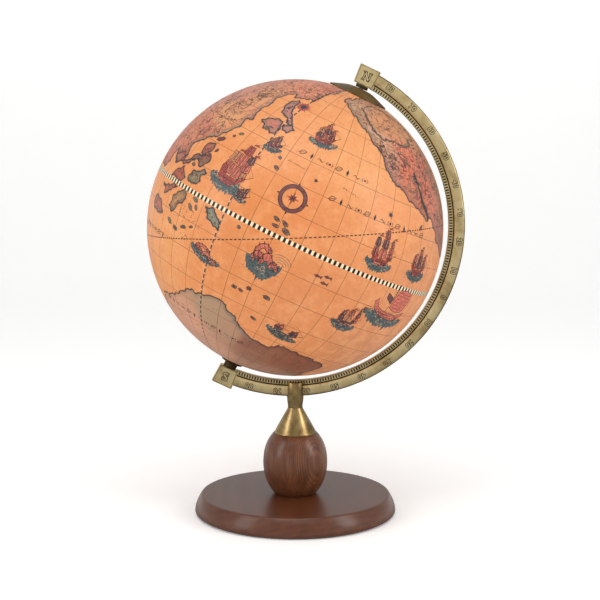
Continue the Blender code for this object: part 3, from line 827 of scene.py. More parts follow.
LANDS = {
    # Outlines as longitude east and latitude, in degrees.
    "old_world": [
        (156, 79), (159, 70), (155, 63), (155, 56), (150.5, 55.5), (145, 54), (137, 53.5), (136, 49),
        (138, 44.5), (137, 41),
        (140, 34.5), (136.7, 34), (138, 29.5), (134.5, 25), (130.7, 21.7), (126.7, 18.3), (121.6, 15.2),
        (122.4, 13),
        (124, 10.5), (120, 6.4), (116.5, 7), (114.7, 8.7), (113.7, 11), (112, 8), (112.8, 5), (109, 2),
        (104, 2.5), (100, 7), (99, 14),
        (94, 17), (90, 22), (85, 20), (80, 14), (77, 8), (74, 15), (72, 21), (66, 25), (57, 26), (59, 20),
        (52, 15),
        (44, 13), (39, 20), (35, 28), (36, 24), (39, 15), (44, 11), (51, 11), (46, 2), (40, -6), (40, -15),
        (35, -22),
        (32, -29), (25, -34), (18, -34), (14, -25), (12, -16), (13, -6), (9, 2), (4, 6), (-5, 5), (-12, 8),
        (-17, 14),
        (-16, 22), (-10, 30), (-6, 35), (3, 37), (10, 37), (11, 33), (20, 31), (30, 31), (35, 32), (36, 36),
        (28, 37),
        (26, 40), (23, 38), (19, 41), (13, 45), (17, 40), (15, 38), (10, 44), (3, 43), (-1, 38), (-6, 37),
        (-9, 39),
        (-9, 43), (-2, 44), (-4, 48), (2, 51), (8, 54), (12, 55), (20, 55), (24, 59), (20, 63), (17, 60),
        (13, 56),
        (6, 59), (8, 63), (15, 68), (25, 71), (40, 67), (50, 69), (60, 69), (72, 73), (82, 75), (100, 78),
        (115, 76),
        (130, 77), (145, 78),
    ],
    "new_world": [
        (171, 68), (179, 63), (186.7, 59.5), (191.7, 55), (195.4, 53.6), (199.2, 50), (204, 47.4), (207, 45),
        (208, 42),
        (210.6, 39.3), (213, 37), (215.7, 35.5), (221, 34), (226.4, 31.6), (231, 30), (235, 28.2),
        (238.6, 27.2), (239.5, 28.5),
        (236, 32), (232.3, 36), (227.6, 41.2), (228.6, 41.6), (233.4, 36), (237, 32), (241, 28.3), (245, 25),
        (247.3, 21),
        (256, 16.7), (264, 15), (272, 11), (278, 8), (283, 2), (280, -4), (285, -14), (289, -20), (287, -35),
        (286, -48),
        (291, -54), (298, -40), (303, -34), (312, -25), (320, -12), (325, -6), (310, 0), (300, 9), (290, 12),
        (283, 9),
        (277, 15), (272, 17), (264, 18), (262, 24), (270, 30), (279, 27), (280, 34), (286, 41), (294, 45),
        (305, 48),
        (300, 55), (290, 60), (285, 55), (275, 53), (267, 60), (275, 66), (290, 68), (280, 76), (260, 77),
        (240, 79),
        (220, 79), (200, 79), (185, 75), (174, 72),
    ],
    "south_land": [
        (118, -50), (121, -46), (126, -44.5), (133.5, -42.5), (138, -41), (143, -38), (149, -34.6),
        (155, -34.5), (159, -33),
        (163, -32.5), (167.6, -33.4), (172.6, -36.3), (176, -39.5), (179, -41.3), (181.5, -42.6), (186, -44),
        (190.3, -44.6),
        (196.6, -43), (200.4, -40.7), (204.3, -41.6), (209, -41.5), (213, -42), (221, -43), (228.5, -43.5),
        (232, -46.5),
        (231, -54), (240, -61), (255, -64), (270, -64), (290, -60), (310, -66), (330, -68), (350, -70),
        (370, -69),
        (390, -66), (410, -66), (430, -63), (450, -60), (465, -57), (472, -54), (478, -50), (478, -95),
        (118, -95),
    ],
    "tan_isle": [
        (134, -1), (135.5, -3.5), (132, -7), (131.5, -9), (129.5, -10.5), (127, -9), (128, -7), (127.5, -5),
        (130.5, -2.5),
    ],
    "gold_isle": [(126, 6.5), (128, 4.5), (130, 3), (128.5, 1.2), (123.5, 1.6), (120.5, 1), (122, 3.5)],
    "west_isle": [(116.5, -3), (125.5, -0.9), (128, -1.2), (125, -3.4), (122, -5.5), (120, -6), (119.5, -4)],
    "malay": [(114, 10), (120.5, 11), (123.5, 9.5), (122, 7.5), (119.5, 6), (116, 7.5)],
    "low_isle": [
        (113, -9), (119.5, -9), (122, -11.5), (123.5, -13), (121.5, -14), (114, -13.5), (112.5, -10.5),
    ],
    "red_isle": [
        (131, 18.5), (134, 19.5), (135, 18), (134.8, 16), (133.2, 14.5), (132.5, 13), (130.5, 14),
        (130, 16.5),
    ],
    "plum_isle": [
        (123, 8), (127, 9.5), (128, 12), (130.5, 13), (133, 13.5), (135.5, 14.8), (137, 14), (137.5, 12.5),
        (136, 11),
        (135.5, 9.8), (134, 9.2), (131.5, 11.2), (128.5, 10.2), (126.5, 8),
    ],
    "spice_isle": [
        (131.5, 4.5), (132.5, 7), (137.5, 9.2), (139.4, 8.4), (137.4, 6.5), (138.4, 4.5), (137, 3), (132, 3),
    ],
    "long_isle": [
        (146, -2.2), (149, -1.4), (152, -3.4), (154.4, -5.5), (155.2, -7.6), (153, -7), (148.5, -5.6),
    ],
    "coral_isle": [
        (143.5, 36.5), (146, 38.8), (150.5, 40.2), (153.6, 38), (154.5, 35), (152, 32.8), (148, 33.4),
    ],
    "east_isle": [(154.8, 38.5), (158, 40.2), (160.8, 38.5), (158.5, 36), (156, 36.5)],
    "bow_isle": [
        (148, 53), (146, 51.5), (145.6, 48), (147.6, 45), (150.6, 42.7), (154, 41), (157, 39.6), (158, 40.8),
        (154.9, 43.2), (152.1, 46), (150.1, 49), (150, 52),
    ],
    "britain": [(-5, 50), (1, 52), (-3, 58), (-6, 56)],
    "iceland": [(-24, 64), (-14, 65), (-19, 67)],
    "madagascar": [(44, -25), (43, -18), (50, -13), (48, -25)],
    "greenland": [(310, 60), (325, 68), (340, 71), (340, 80), (300, 80), (295, 76), (306, 70)],
    "ceylon": [(80, 9), (82, 7), (80, 6)],
}

# Anchors of a tint as (longitude, latitude, colour), and of how rugged the land is, from 0 to 1.
# The sea's anchors are darker near the ball's right and lower edge: painted shade over the paper's own tone.
SEA_TINTS_AND_SHADE = [
    (183, 10, (225, 139, 82)), (165, 0, (222, 135, 74)), (195, 38, (234, 160, 101)),
    (215, 20, (232, 151, 94)),
    (240, 5, (218, 143, 94)), (200, -20, (224, 140, 84)), (128, -25, (232, 155, 94)),
    (160, -20, (226, 141, 80)),
    (145, 10, (228, 147, 88)), (160, 45, (230, 151, 94)), (232, -30, (207, 136, 88)), (0, 0, (225, 143, 86)),
    (60, -20, (227, 145, 88)), (300, 20, (224, 143, 88)), (320, -40, (220, 141, 88)),
]
# The land's anchors are darker near the ball's right and lower edge: painted shade over the map's own colours.
LAND_TINTS_AND_SHADE = [
    (125, 30, (226, 158, 110)), (118, 18, (212, 132, 98)), (140, 64, (226, 144, 108)),
    (152, 72, (216, 120, 92)),
    (110, 45, (206, 138, 114)), (133, 46, (222, 154, 110)), (121, 22, (206, 124, 98)),
    (180, 66, (196, 152, 118)),
    (190, 62, (186, 140, 108)), (198, 52.5, (206, 160, 132)), (205, 49.5, (212, 156, 122)),
    (211, 46, (200, 142, 114)),
    (213, 42, (190, 130, 108)), (222, 42, (222, 118, 86)), (227, 51, (226, 124, 88)),
    (225, 36, (202, 122, 92)), (235, 33, (212, 118, 84)),
    (215, 64, (214, 144, 96)), (205, 62, (216, 148, 100)), (236, 62, (200, 140, 98)),
    (240, 46, (196, 106, 82)),
    (236, 38, (206, 108, 78)), (255, 22, (168, 104, 84)), (255, 45, (170, 112, 84)),
    (128, -50, (208, 148, 116)),
    (145, -50, (208, 150, 120)), (160, -42, (176, 140, 108)), (172, -46, (178, 136, 106)),
    (190, -52, (150, 102, 76)),
    (186, -47, (140, 88, 66)), (212, -48, (142, 88, 66)), (160, -65, (198, 144, 114)),
    (205, -66, (170, 120, 94)),
    (131, -5, (196, 138, 92)), (150, -5, (150, 144, 114)), (147, 47, (214, 128, 118)),
    (150, 37, (206, 118, 98)),
    (135, 5, (168, 142, 104)), (132, 16, (206, 100, 76)), (131, 11, (170, 92, 84)), (112, -2, (206, 112, 96)),
    (117, -11, (208, 116, 98)), (122, -3, (212, 108, 78)), (124, 3, (206, 88, 68)), (120, 9, (200, 122, 92)),
    (20, 5, (205, 140, 90)), (15, -20, (195, 110, 80)), (20, 25, (210, 160, 100)), (15, 50, (190, 110, 90)),
    (80, 50, (205, 140, 95)), (78, 20, (190, 130, 90)), (300, -10, (200, 130, 85)),
    (290, -30, (190, 100, 75)),
    (280, 45, (190, 120, 90)), (320, 74, (200, 150, 110)),
]
SHORE_TINTS = [
    (130, 25, (146, 132, 106)), (150, 62, (176, 116, 92)), (190, 58, (140, 118, 96)),
    (200, 50, (140, 108, 88)),
    (212, 42, (124, 98, 92)), (230, 32, (150, 96, 80)), (130, -43, (190, 140, 106)),
    (160, -33, (146, 128, 100)),
    (174, -38, (112, 114, 106)), (200, -43, (126, 76, 58)), (225, -45, (116, 80, 62)),
    (131, -5, (132, 112, 84)),
    (150, -5, (104, 112, 100)), (147, 47, (150, 122, 114)), (150, 37, (154, 116, 102)),
    (135, 6, (112, 112, 92)),
    (131, 14, (110, 84, 76)), (124, 3, (150, 84, 66)), (15, 20, (150, 130, 95)), (300, 0, (150, 125, 95)),
    (20, 55, (140, 120, 95)), (80, 15, (150, 130, 95)),
]
RUGGED = [
    (125, 30, 0.30), (140, 62, 0.45), (152, 74, 0.5), (185, 62, 0.25), (200, 50, 0.55), (212, 42, 0.7),
    (225, 42, 0.9),
    (245, 45, 0.8), (236, 32, 0.6), (250, 22, 0.7), (215, 64, 0.45), (140, -48, 0.0), (170, -42, 0.0),
    (200, -48, 0.12),
    (135, 0, 0.3), (20, 0, 0.4), (80, 45, 0.5), (300, -10, 0.5), (15, 50, 0.5),
]


def direction(lon, lat):
    """Unit vectors out of the globe, in the row frame; lon and lat are numbers or arrays, in degrees."""
    lon, lat = np.radians(np.asarray(lon, float) - FRONT_LON), np.radians(np.asarray(lat, float))
    east, front, north = np.cos(lat) * np.sin(lon), np.cos(lat) * np.cos(lon), np.sin(lat)
    return np.stack([east, front, north], axis=-1) @ np.array([EAST, FRONT, NORTH])


def roughened(points, rng):
    """The closed outline with a fractal wander between its points."""
    for _ in range(3):
        made = []
        for (x0, y0), (x1, y1) in zip(points, points[1:] + points[:1]):
            made.append((x0, y0))
            if max(abs(y0), abs(y1)) > POLE_LAT or math.hypot(x1 - x0, y1 - y0) < 0.7:
                continue
            swing = rng.gauss(0, 0.13)
            made.append(((x0 + x1) / 2 - (y1 - y0) * swing, (y0 + y1) / 2 + (x1 - x0) * swing))
        points = made
    return points


def shore_distance(lon, lat):
    """Distance to the nearest shore, in mm, positive on land."""
    rng = random.Random(5)
    inside = np.zeros(len(lon), bool)
    samples = []
    for points in LANDS.values():
        points = roughened(points, rng)
        for shift in (0, 360, -360):
            x = lon + shift
            near = (x > min(p[0] for p in points) - 1) & (x < max(p[0] for p in points) + 1)
            if not near.any():
                continue
            x, y = x[near], lat[near]
            odd = np.zeros(len(x), bool)
            for (x0, y0), (x1, y1) in zip(points, points[1:] + points[:1]):
                if y0 != y1:
                    odd ^= ((y0 > y) != (y1 > y)) & (x < (x1 - x0) * (y - y0) / (y1 - y0) + x0)
            inside[near] |= odd
        for (x0, y0), (x1, y1) in zip(points, points[1:] + points[:1]):
            if max(abs(y0), abs(y1)) < POLE_LAT:
                count = 1 + int(math.hypot(x1 - x0, y1 - y0) / SHORE_STEP)
                share = np.arange(count) / count
                samples.append(direction(x0 + (x1 - x0) * share, y0 + (y1 - y0) * share))
    samples = np.concatenate(samples) * GLOBE_R / MM
    tree = KDTree(len(samples))
    for k, p in enumerate(samples):
        tree.insert(p, k)
    tree.balance()
    spots = direction(lon, lat) * GLOBE_R / MM
    far = np.array([tree.find(p)[2] for p in spots])
    return np.where(inside, far, -far)


def blended(anchors, spots, power):
    """Values at unit vectors, each drawn to the anchors near it."""
    values = np.array([np.atleast_1d(rgb(*a[2])[:3] if np.ndim(a[2]) else a[2]) for a in anchors], float)
    places = direction([a[0] for a in anchors], [a[1] for a in anchors])
    apart = np.arccos(np.clip(spots @ places.T, -1, 1)) + 0.03
    weight = apart**-power
    return (weight @ values) / weight.sum(axis=1, keepdims=True)


GORES, MAP_STEP = 12, 0.5  # strips of the map, and degrees between its points
WEST_EDGE, SOUTH_EDGE, NORTH_EDGE = 15, -88.0, 84.0
FARTHEST = 40  # mm from a shore that the shader has to know


def build_map():
    """The printed skin in gores, which carry longitude and latitude, distance to the shore, and the tints, in
    which the sea and the land carry painted shade.
    """
    material = map_look()
    lats = np.arange(SOUTH_EDGE, NORTH_EDGE + MAP_STEP / 2, MAP_STEP)
    span = 360 / GORES
    cols = int(span / MAP_STEP) + 1
    for gore in range(GORES):
        lons = WEST_EDGE + gore * span + np.arange(cols) * MAP_STEP
        lon, lat = (a.ravel() for a in np.meshgrid(lons, lats))
        spots = direction(lon, lat)
        verts = spots * GLOBE_R + np.array(CENTRE)
        low = np.arange(len(lats) - 1)[:, None] * cols + np.arange(cols - 1)
        faces = np.stack([low, low + 1, low + cols + 1, low + cols], axis=-1).reshape(-1, 4)
        mesh = bpy.data.meshes.new(f"map_gore_{gore + 1:02d}")
        mesh.from_pydata(verts.tolist(), [], faces.tolist())
        corner = np.empty(len(mesh.loops), np.int32)
        mesh.loops.foreach_get("vertex_index", corner)
        layer = mesh.uv_layers.new(name="lon_lat")
        layer.data.foreach_set("uv", np.stack([lon[corner], lat[corner]], axis=1).ravel())
        shore = mesh.attributes.new("shore", "FLOAT", "POINT")
        shore.data.foreach_set("value", np.clip(shore_distance(lon % 360, lat), -FARTHEST, FARTHEST))
        for name, anchors in (
            ("sea_tint_and_shade", SEA_TINTS_AND_SHADE), ("land_tint_and_shade", LAND_TINTS_AND_SHADE), ("shore_tint", SHORE_TINTS),
        ):
            tint = blended(anchors, spots, 3 if name == "sea_tint_and_shade" else 5)
            made = mesh.attributes.new(name, "FLOAT_COLOR", "POINT")
            made.data.foreach_set("color", np.concatenate([tint, np.ones((len(tint), 1))], axis=1).ravel())
        rugged = mesh.attributes.new("rugged", "FLOAT", "POINT")
        rugged.data.foreach_set("value", blended(RUGGED, spots, 5)[:, 0])
        replaced = ["north_hemisphere", "south_hemisphere"]
        finish_piece(mesh.name, mesh, material, "globe", replaced, normals=spots.tolist())


# ---------------------------------------------------------------- drawings on the map

INKS = {
    # name: (colour, how far it stands off the globe's skin, in mm)
    "water": (rgb(84, 96, 94), 0.03),
    "tan": (rgb(206, 132, 90), 0.045),
    "coral": (rgb(204, 104, 82), 0.05),
    "red": (rgb(168, 66, 54), 0.055),
    "olive": (rgb(122, 116, 86), 0.06),
    "plum": (rgb(112, 66, 66), 0.065),
    "navy": (rgb(54, 64, 72), 0.075),
    "dark": (rgb(58, 36, 34), 0.085),
    "pale": (rgb(214, 164, 124), 0.095),
}
LONGEST_MM = 3.0  # a longer side would dip into the round skin


class Press:
    """Collects the small drawings as one thin mesh per ink, laid on the globe."""

    def __init__(self):
        self.sheets = {name: ([], []) for name in INKS}
        self.at(FRONT_LON, 0)

    def at(self, lon, lat, turn=0.0, size=1.0, flip=1):
        """Puts the paper's origin at a place: x east and y north, turned clockwise, in units of size mm."""
        out = Vector(direction(lon, lat))
        east = NORTH.cross(out).normalized()
        north = out.cross(east)
        a = math.radians(turn)
        self.origin = out * GLOBE_R
        self.x = (east * math.cos(a) - north * math.sin(a)) * flip
        self.y = north * math.cos(a) + east * math.sin(a)
        self.size, self.flip = size, flip

    def spot(self, x, y, lift):
        p = self.origin + (self.x * x + self.y * y) * (self.size * MM)
        return p.normalized() * (GLOBE_R + lift * MM) + CENTRE

    def patch(self, ink, corners):
        """Adds one triangle or quad, cut up where it is long."""
        sides = [math.dist(a, b) for a, b in zip(corners, corners[1:] + corners[:1])]
        if max(sides) * self.size > LONGEST_MM:
            if len(corners) == 4:
                a, b, c, d = corners
                halves = [a, b, c], [a, c, d]
            else:
                k = sides.index(max(sides))
                a, b, c = corners[k:] + corners[:k]
                m = ((a[0] + b[0]) / 2, (a[1] + b[1]) / 2)
                halves = [a, m, c], [m, b, c]
            for half in halves:
                self.patch(ink, half)
            return
        verts, faces = self.sheets[ink]
        face = list(range(len(verts), len(verts) + len(corners)))
        verts += [self.spot(x, y, INKS[ink][1]) for x, y in corners]
        area = sum(a[0] * b[1] - b[0] * a[1] for a, b in zip(corners, corners[1:] + corners[:1]))
        faces.append(face if area * self.flip > 0 else face[::-1])

    def fill(self, ink, points, edge=None, width=0.5):
        """A filled outline, with an edge of another ink or none."""
        flat = [Vector((x, y, 0)) for x, y in points]
        for triple in tessellate_polygon([flat]):
            self.patch(ink, [tuple(points[k]) for k in triple])
        if edge:
            self.line(edge, list(points) + [points[0]], width)

    def line(self, ink, points, width, taper=False):
        """A stroke of the given width in mm, which may be thin at both ends."""
        half = width / 2 / self.size
        closed = len(points) > 2 and points[0] == points[-1]
        sides = []
        for k, (x, y) in enumerate(points):
            at_end = k in (0, len(points) - 1)
            a, b = points[max(0, k - 1)], points[min(len(points) - 1, k + 1)]
            if closed and at_end:
                a, b = points[-2], points[1]
            along = Vector((b[0] - a[0], b[1] - a[1]))
            along = along.normalized() if along.length > 1e-9 else Vector((1, 0))
            reach = half * (0.35 if taper and at_end else 1)
            sides.append(
                ((x - along.y * reach, y + along.x * reach), (x + along.y * reach, y - along.x * reach))
            )
        for (a, b), (c, d) in zip(sides, sides[1:]):
            self.patch(ink, [b, d, c, a])

    def print(self):
        for ink, (verts, faces) in self.sheets.items():
            name = f"drawing_{ink}"
            mesh = bpy.data.meshes.new(name)
            mesh.from_pydata([tuple(v) for v in verts], [], faces)
            normals = [tuple((v - CENTRE).normalized()) for v in verts]
            finish_piece(name, mesh, ink_look(ink, INKS[ink][0]), "globe", normals=normals)


def blob(rng, width, height, points, wobble):
    """A ragged oval outline."""
    made = []
    for x, y in circle(1, points):
        reach = 1 + rng.uniform(-wobble, wobble)
        made.append((width / 2 * x * reach, height / 2 * y * reach))
    return made


def scratches(press, rng, box, count, inks=("dark", "plum", "navy"), lean=0.3):
    """Short strokes of engraving inside a box (low x, low y, high x, high y)."""
    for _ in range(count):
        x, y = rng.uniform(box[0], box[2]), rng.uniform(box[1], box[3])
        reach = 1.1 / press.size * rng.uniform(0.5, 1.3)
        a = math.pi / 2 + rng.gauss(0, lean)
        stroke = [(x, y), round_point(reach, a, x, y)]
        press.line(inks[rng.randrange(len(inks))], stroke, rng.uniform(0.28, 0.45))


def sea_swell(press, rng, low, high, level, depth):
    """Ragged water under a drawing, with dark and pale wave lines."""
    count, wide = 23, high - low
    top = [
        (low + wide * k / count, level + rng.uniform(-0.3, 0.4) * depth * (k % 2)) for k in range(count + 1)
    ]
    bottom = []
    for k in range(count, -1, -1):
        share = math.sin(math.pi * k / count) ** 0.6
        ragged = rng.uniform(0.85, 1.15) if k % 2 else rng.uniform(0.66, 0.9)
        bottom.append((low + wide * k / count, level - depth * (0.12 + share * ragged)))
    press.fill("water", top + bottom, "navy", 0.35)
    for row in range(5):
        y = level - depth * (0.02 + 0.19 * row)
        x = low + wide * (0.02 + 0.05 * row)
        while x < high - wide * (0.08 + 0.05 * row):
            step = rng.uniform(0.07, 0.16)
            ink = ("navy", "navy", "dark", "pale")[rng.randrange(4)]
            points = []
            for t in (0, 0.25, 0.5, 0.75, 1):
                rise = depth * 0.11 * math.sin(math.pi * t) * rng.choice((1, 1.4))
                points.append((x + step * t, y + rise))
            press.line(ink, points, 0.42 if ink == "pale" else 0.7, taper=True)
            x += step * rng.uniform(0.85, 1.25)
    for end, way in ((low, -1), (high, 1)):
        for k in range(3):
            y = level - depth * (0.2 + 0.25 * k)
            spray = [(end - way * 0.06, y), (end + way * rng.uniform(0.02, 0.09), y - 0.02)]
            press.line("navy", spray, 0.6, taper=True)


HULL = [
    (-0.50, 0.26), (-0.42, -0.04), (-0.20, -0.12), (0.16, -0.12), (0.34, -0.02), (0.44, 0.12),
    (0.56, 0.24), (0.36, 0.20), (0.26, 0.10), (-0.16, 0.08), (-0.26, 0.24), (-0.42, 0.34),
]


def ship(press, rng, masts, hull, deck=0.74):
    """A square-rigged ship of no nation, bow to the right; masts are (x, height, width of its sails)."""
    sea_swell(press, rng, -0.74 * deck, 0.70 * deck, -0.02, 0.30)
    press.fill(hull, [(x * deck, y) for x, y in HULL], "dark", 0.6)
    for level in (0.05, 0.0, -0.05):
        plank = [(-0.38 * deck, level + 0.02), (0, level - 0.03), (0.34 * deck, level + 0.03)]
        press.line("dark", plank, 0.34)
    for k in range(7):
        x = (-0.38 + 0.11 * k) * deck
        press.line(("plum", "tan")[k % 2], [(x, -0.08), (x + 0.02, 0.06)], 0.42)
    scratches(press, rng, (-0.4 * deck, -0.1, 0.4 * deck, 0.2), 9)
    for x, height, width in masts:
        x, width = x * deck * 1.1, width * (0.55 + deck / 3)
        press.line("dark", [(x, 0.05), (x + 0.01, height)], 0.55)
        tiers = 3 if height > 0.8 else 2
        for tier in range(tiers):
            low = 0.15 + (height - 0.18) * tier / tiers
            high = 0.15 + (height - 0.18) * (tier + 0.86) / tiers
            square_sail(press, rng, x, low, high, width * (1.06 - 0.20 * tier))
        pennant = [(0, 0), (0.15, 0.05), (0.09, 0.02), (0.17, -0.02), (0, -0.04)]
        press.fill("red", [(x + dx, height + dy) for dx, dy in pennant], "dark", 0.3)
        if press.size > 30:
            box = x - width * 0.5, 0.2, x + width * 0.45, height * 0.9
            scratches(press, rng, box, int(press.size * 0.7), ("dark", "plum", "dark"), 0.5)
        for foot in (-0.42 * deck, 0.42 * deck):
            press.line("dark", [(x, height * 0.92), (foot, 0.16)], 0.26)
    press.line("dark", [(0.44 * deck, 0.16), (0.74 * deck, 0.36)], 0.5)
    press.line("dark", [(0.74 * deck, 0.36), (0.18 * deck, 0.72)], 0.24)


def square_sail(press, rng, x, low, high, wide):
    """One sail that hangs about x, with its folds."""
    shape = eased([(x - wide / 2, low), (x + 0.02, low - 0.035), (x + wide / 2 + 0.03, low)], 3)
    shape += eased([(x + wide / 2 - 0.02, high), (x, high - 0.02), (x - wide / 2 + 0.03, high)], 3)
    colour = "coral" if rng.random() < 0.45 else ("plum", "tan", "plum", "red")[rng.randrange(4)]
    press.fill(colour, shape, "dark", 0.5)
    for share, ink in ((-0.30, "plum"), (-0.12, "dark"), (0.08, "plum"), (0.28, "navy")):
        fold = [(x + wide * share, low), (x + wide * share * 0.9 + 0.01, high - 0.02)]
        press.line(ink, fold, rng.uniform(0.28, 0.5))
    press.line("pale", [(x + wide * 0.18, low + 0.02), (x + wide * 0.17, high - 0.04)], 0.34)


GALLEY_HULL = [
    (-0.78, 0.22), (-0.66, 0.02), (-0.34, -0.12), (0.30, -0.14), (0.58, 0.0), (0.72, 0.22),
    (0.60, 0.16), (0.40, 0.06), (-0.30, 0.04), (-0.58, 0.12), (-0.70, 0.34),
]
GALLEY_SAIL = [
    (-0.12, 0.20), (0.04, 0.15), (0.26, 0.14), (0.50, 0.20), (0.58, 0.46), (0.56, 0.76),
    (0.24, 0.82), (-0.06, 0.76), (-0.14, 0.50),
]


def galley(press, rng):
    """A low rowing ship under one great striped sail."""
    sea_swell(press, rng, -0.95, 0.84, -0.05, 0.38)
    press.fill("coral", GALLEY_HULL, "dark", 0.6)
    for k in range(11):
        x = -0.52 + 0.10 * k
        press.line("dark", [(x, 0.04), (x - 0.07, -0.16)], 0.45)
    press.line("plum", [(-0.66, 0.10), (-0.3, -0.02), (0.36, -0.02), (0.62, 0.10)], 0.5)
    press.fill("coral", GALLEY_SAIL, "dark", 0.65)
    for k in range(6):
        y = 0.24 + 0.092 * k
        wave = [(-0.08 + 0.10 * j, y + 0.012 * (-1) ** j) for j in range(7)]
        press.line("plum", wave, 0.5)
        press.line("tan", [(x, y + 0.045) for x, y in wave], 0.4)
    scratches(press, rng, (-0.46, 0.12, -0.16, 0.40), 12)
    jib = [(-0.46, 0.42), (-0.20, 0.30), (-0.16, 0.46), (-0.30, 0.52), (-0.48, 0.58)]
    press.fill("plum", jib, "dark", 0.5)
    press.line("dark", [(-0.20, 0.05), (-0.14, 0.92)], 0.6)
    for k in range(6):
        press.fill("dark", [(-0.21, 0.50 + 0.07 * k), (-0.16, 0.53 + 0.07 * k), (-0.21, 0.55 + 0.07 * k)])
    press.line("dark", [(0.60, 0.10), (0.66, 0.60)], 0.5)


NECK_BACK = [(-0.34, 0.02), (-0.44, 0.20), (-0.36, 0.42), (-0.16, 0.52), (0.02, 0.44), (0.12, 0.36)]
NECK_THROAT = [(0.06, 0.32), (-0.06, 0.33), (-0.18, 0.38), (-0.27, 0.30), (-0.28, 0.16), (-0.18, 0.04)]
SPINE = [(-0.02, 0), (-0.03, 0.07), (0.03, 0.01)]
EYE = [(-0.05, 0.40), (-0.02, 0.43), (0.01, 0.40), (-0.02, 0.37)]


def sea_beast(press, rng, long, tall, sprays):
    """Coils of a made-up sea beast in ragged water."""

    def sized(points, x=0.0, y=0.0):
        return [((x + dx) * long, (y + dy) * tall) for dx, dy in points]

    sea_swell(press, rng, -0.62 * long, 0.58 * long, 0.05, 0.50 * tall)
    for x, y, w, h in ((-0.28, 0.00, 0.34, 0.26), (0.04, -0.04, 0.40, 0.34), (0.32, -0.08, 0.28, 0.22)):
        x, h = x * long, h * tall

        def coil(across, up, a):
            """A point of an oval about the coil's middle."""
            return (x + w * across * math.cos(a), y + h * up * math.sin(a))

        arch = [coil(0.5, 1, a) for a in np.linspace(0, math.pi, 9)]
        inner = [coil(0.2, 0.30, a) for a in np.linspace(math.pi, 0, 7)]
        press.fill("coral", arch + inner, "dark", 0.65)
        for a in (0.5, 1.1, 1.7, 2.3):
            press.fill("plum", [coil(0.5, 1, a - 0.2), coil(0.60, 1.20, a), coil(0.5, 1, a + 0.2)])
            press.line("plum", [coil(0.24, 0.4, a), coil(0.45, 0.9, a)], 0.35)
    neck = eased(NECK_BACK, 3) + eased(NECK_THROAT, 3)
    press.fill("coral", sized(neck), "dark", 0.75)
    for x, y in neck[2:15:2]:
        press.line("plum", sized([(x, y), (x * 0.9 + 0.03, y - 0.08)]), 0.6)
        press.fill("red", sized(SPINE, x, y), "dark", 0.3)
    press.fill("dark", sized(EYE))
    box = -0.45 * long, -0.30 * tall, 0.45 * long, 0.12 * tall
    scratches(press, rng, box, 26, ("navy", "dark", "water"), 1.2)
    for reach in (0.18, 0.25, 0.32, 0.39) if sprays else ():
        arc = [round_point(reach, a, 0.46 * long, 0.02) for a in np.linspace(0.5, 2.2, 7)]
        press.line("water", arc, 0.5, taper=True)


def hills(press, rng, path, count, spread):
    """Little engraved hills strewn along a path of (longitude, latitude)."""
    for k in range(count):
        t = (k + rng.random()) / count * (len(path) - 1)
        (x0, y0), (x1, y1) = path[int(t)], path[int(t) + 1]
        share = t - int(t)
        lat = y0 + (y1 - y0) * share + rng.uniform(-spread, spread)
        lon = x0 + (x1 - x0) * share + rng.uniform(-spread, spread) / math.cos(math.radians(lat))
        press.at(lon, lat, rng.uniform(-14, 14), rng.uniform(2.4, 4.2))
        ink = ("dark", "plum", "olive")[rng.randrange(3)]
        crest = [(-0.55, -0.2), (-0.25, 0.12), (0.0, 0.32), (0.22, 0.08), (0.55, -0.25)]
        press.line(ink, crest, 0.6, taper=True)
        press.line(ink, [(0.05, 0.22), (0.30, -0.20)], 0.7)
        if rng.random() < 0.5:
            press.line(ink, [(-0.9, -0.4), (-0.3, -0.34), (0.4, -0.42)], 0.42)


def wander(press, rng, path, ink="dark", width=0.4, sway=0.5):
    """A wavering inked line through (longitude, latitude) points: a river or a border."""
    points = [path[0]]
    for (x0, y0), (x1, y1) in zip(path, path[1:]):
        steps = max(2, int(math.hypot(x1 - x0, y1 - y0) / 1.2))
        for k in range(1, steps + 1):
            t = k / steps
            points.append((x0 + (x1 - x0) * t + rng.gauss(0, sway), y0 + (y1 - y0) * t + rng.gauss(0, sway)))
    centre = points[len(points) // 2]
    press.at(*centre)
    out, spots = Vector(direction(*centre)), []
    for lon, lat in points:
        spot = Vector(direction(lon, lat))
        spot = spot / spot.dot(out) * (GLOBE_R / MM)
        spots.append((spot.dot(press.x), spot.dot(press.y)))
    press.line(ink, spots, width)


FISH = [(-0.22, 0), (-0.05, 0.09), (0.16, 0.02), (0.26, 0.12), (0.24, -0.10), (0.14, -0.02), (-0.05, -0.08)]


def small_fish(press):
    """Three small fish, one of them upside down."""
    for x, y, way in ((-0.25, 0.0, 1), (0.3, 0.15, -1), (0.25, -0.25, 1)):
        press.fill("plum", [(x + dx, y + dy * way) for dx, dy in FISH], "dark", 0.35)


def isle(press, rng, lon, lat, wide, tall, turn, ink):
    """An islet: an inked shore, a drab band inside it and a tinted heart."""
    press.at(lon, lat, turn)
    outline = blob(rng, wide, tall, max(9, int(wide * 1.6)), 0.2)
    press.fill("plum" if ink == "olive" else "olive", outline, "dark", 0.6)
    press.line(ink, [(x * 0.45, y * 0.45) for x, y in outline], min(1.6, tall * 0.32))
    if wide > 6:
        box = -wide * 0.3, -tall * 0.3, wide * 0.3, tall * 0.2
        scratches(press, rng, box, int(wide), ("dark", "plum"), 0.8)


def dots(press, rng, lon, lat, spread, count):
    """A scatter of tiny reefs."""
    for _ in range(count):
        press.at(lon + rng.uniform(-spread, spread), lat + rng.uniform(-spread, spread))
        press.fill("dark", blob(rng, rng.uniform(0.8, 1.5), rng.uniform(0.7, 1.2), 7, 0.25))


ROSE_BAND, ROSE_STEPS, ROSE_TICKS = 14.0 / 13, 48, 32


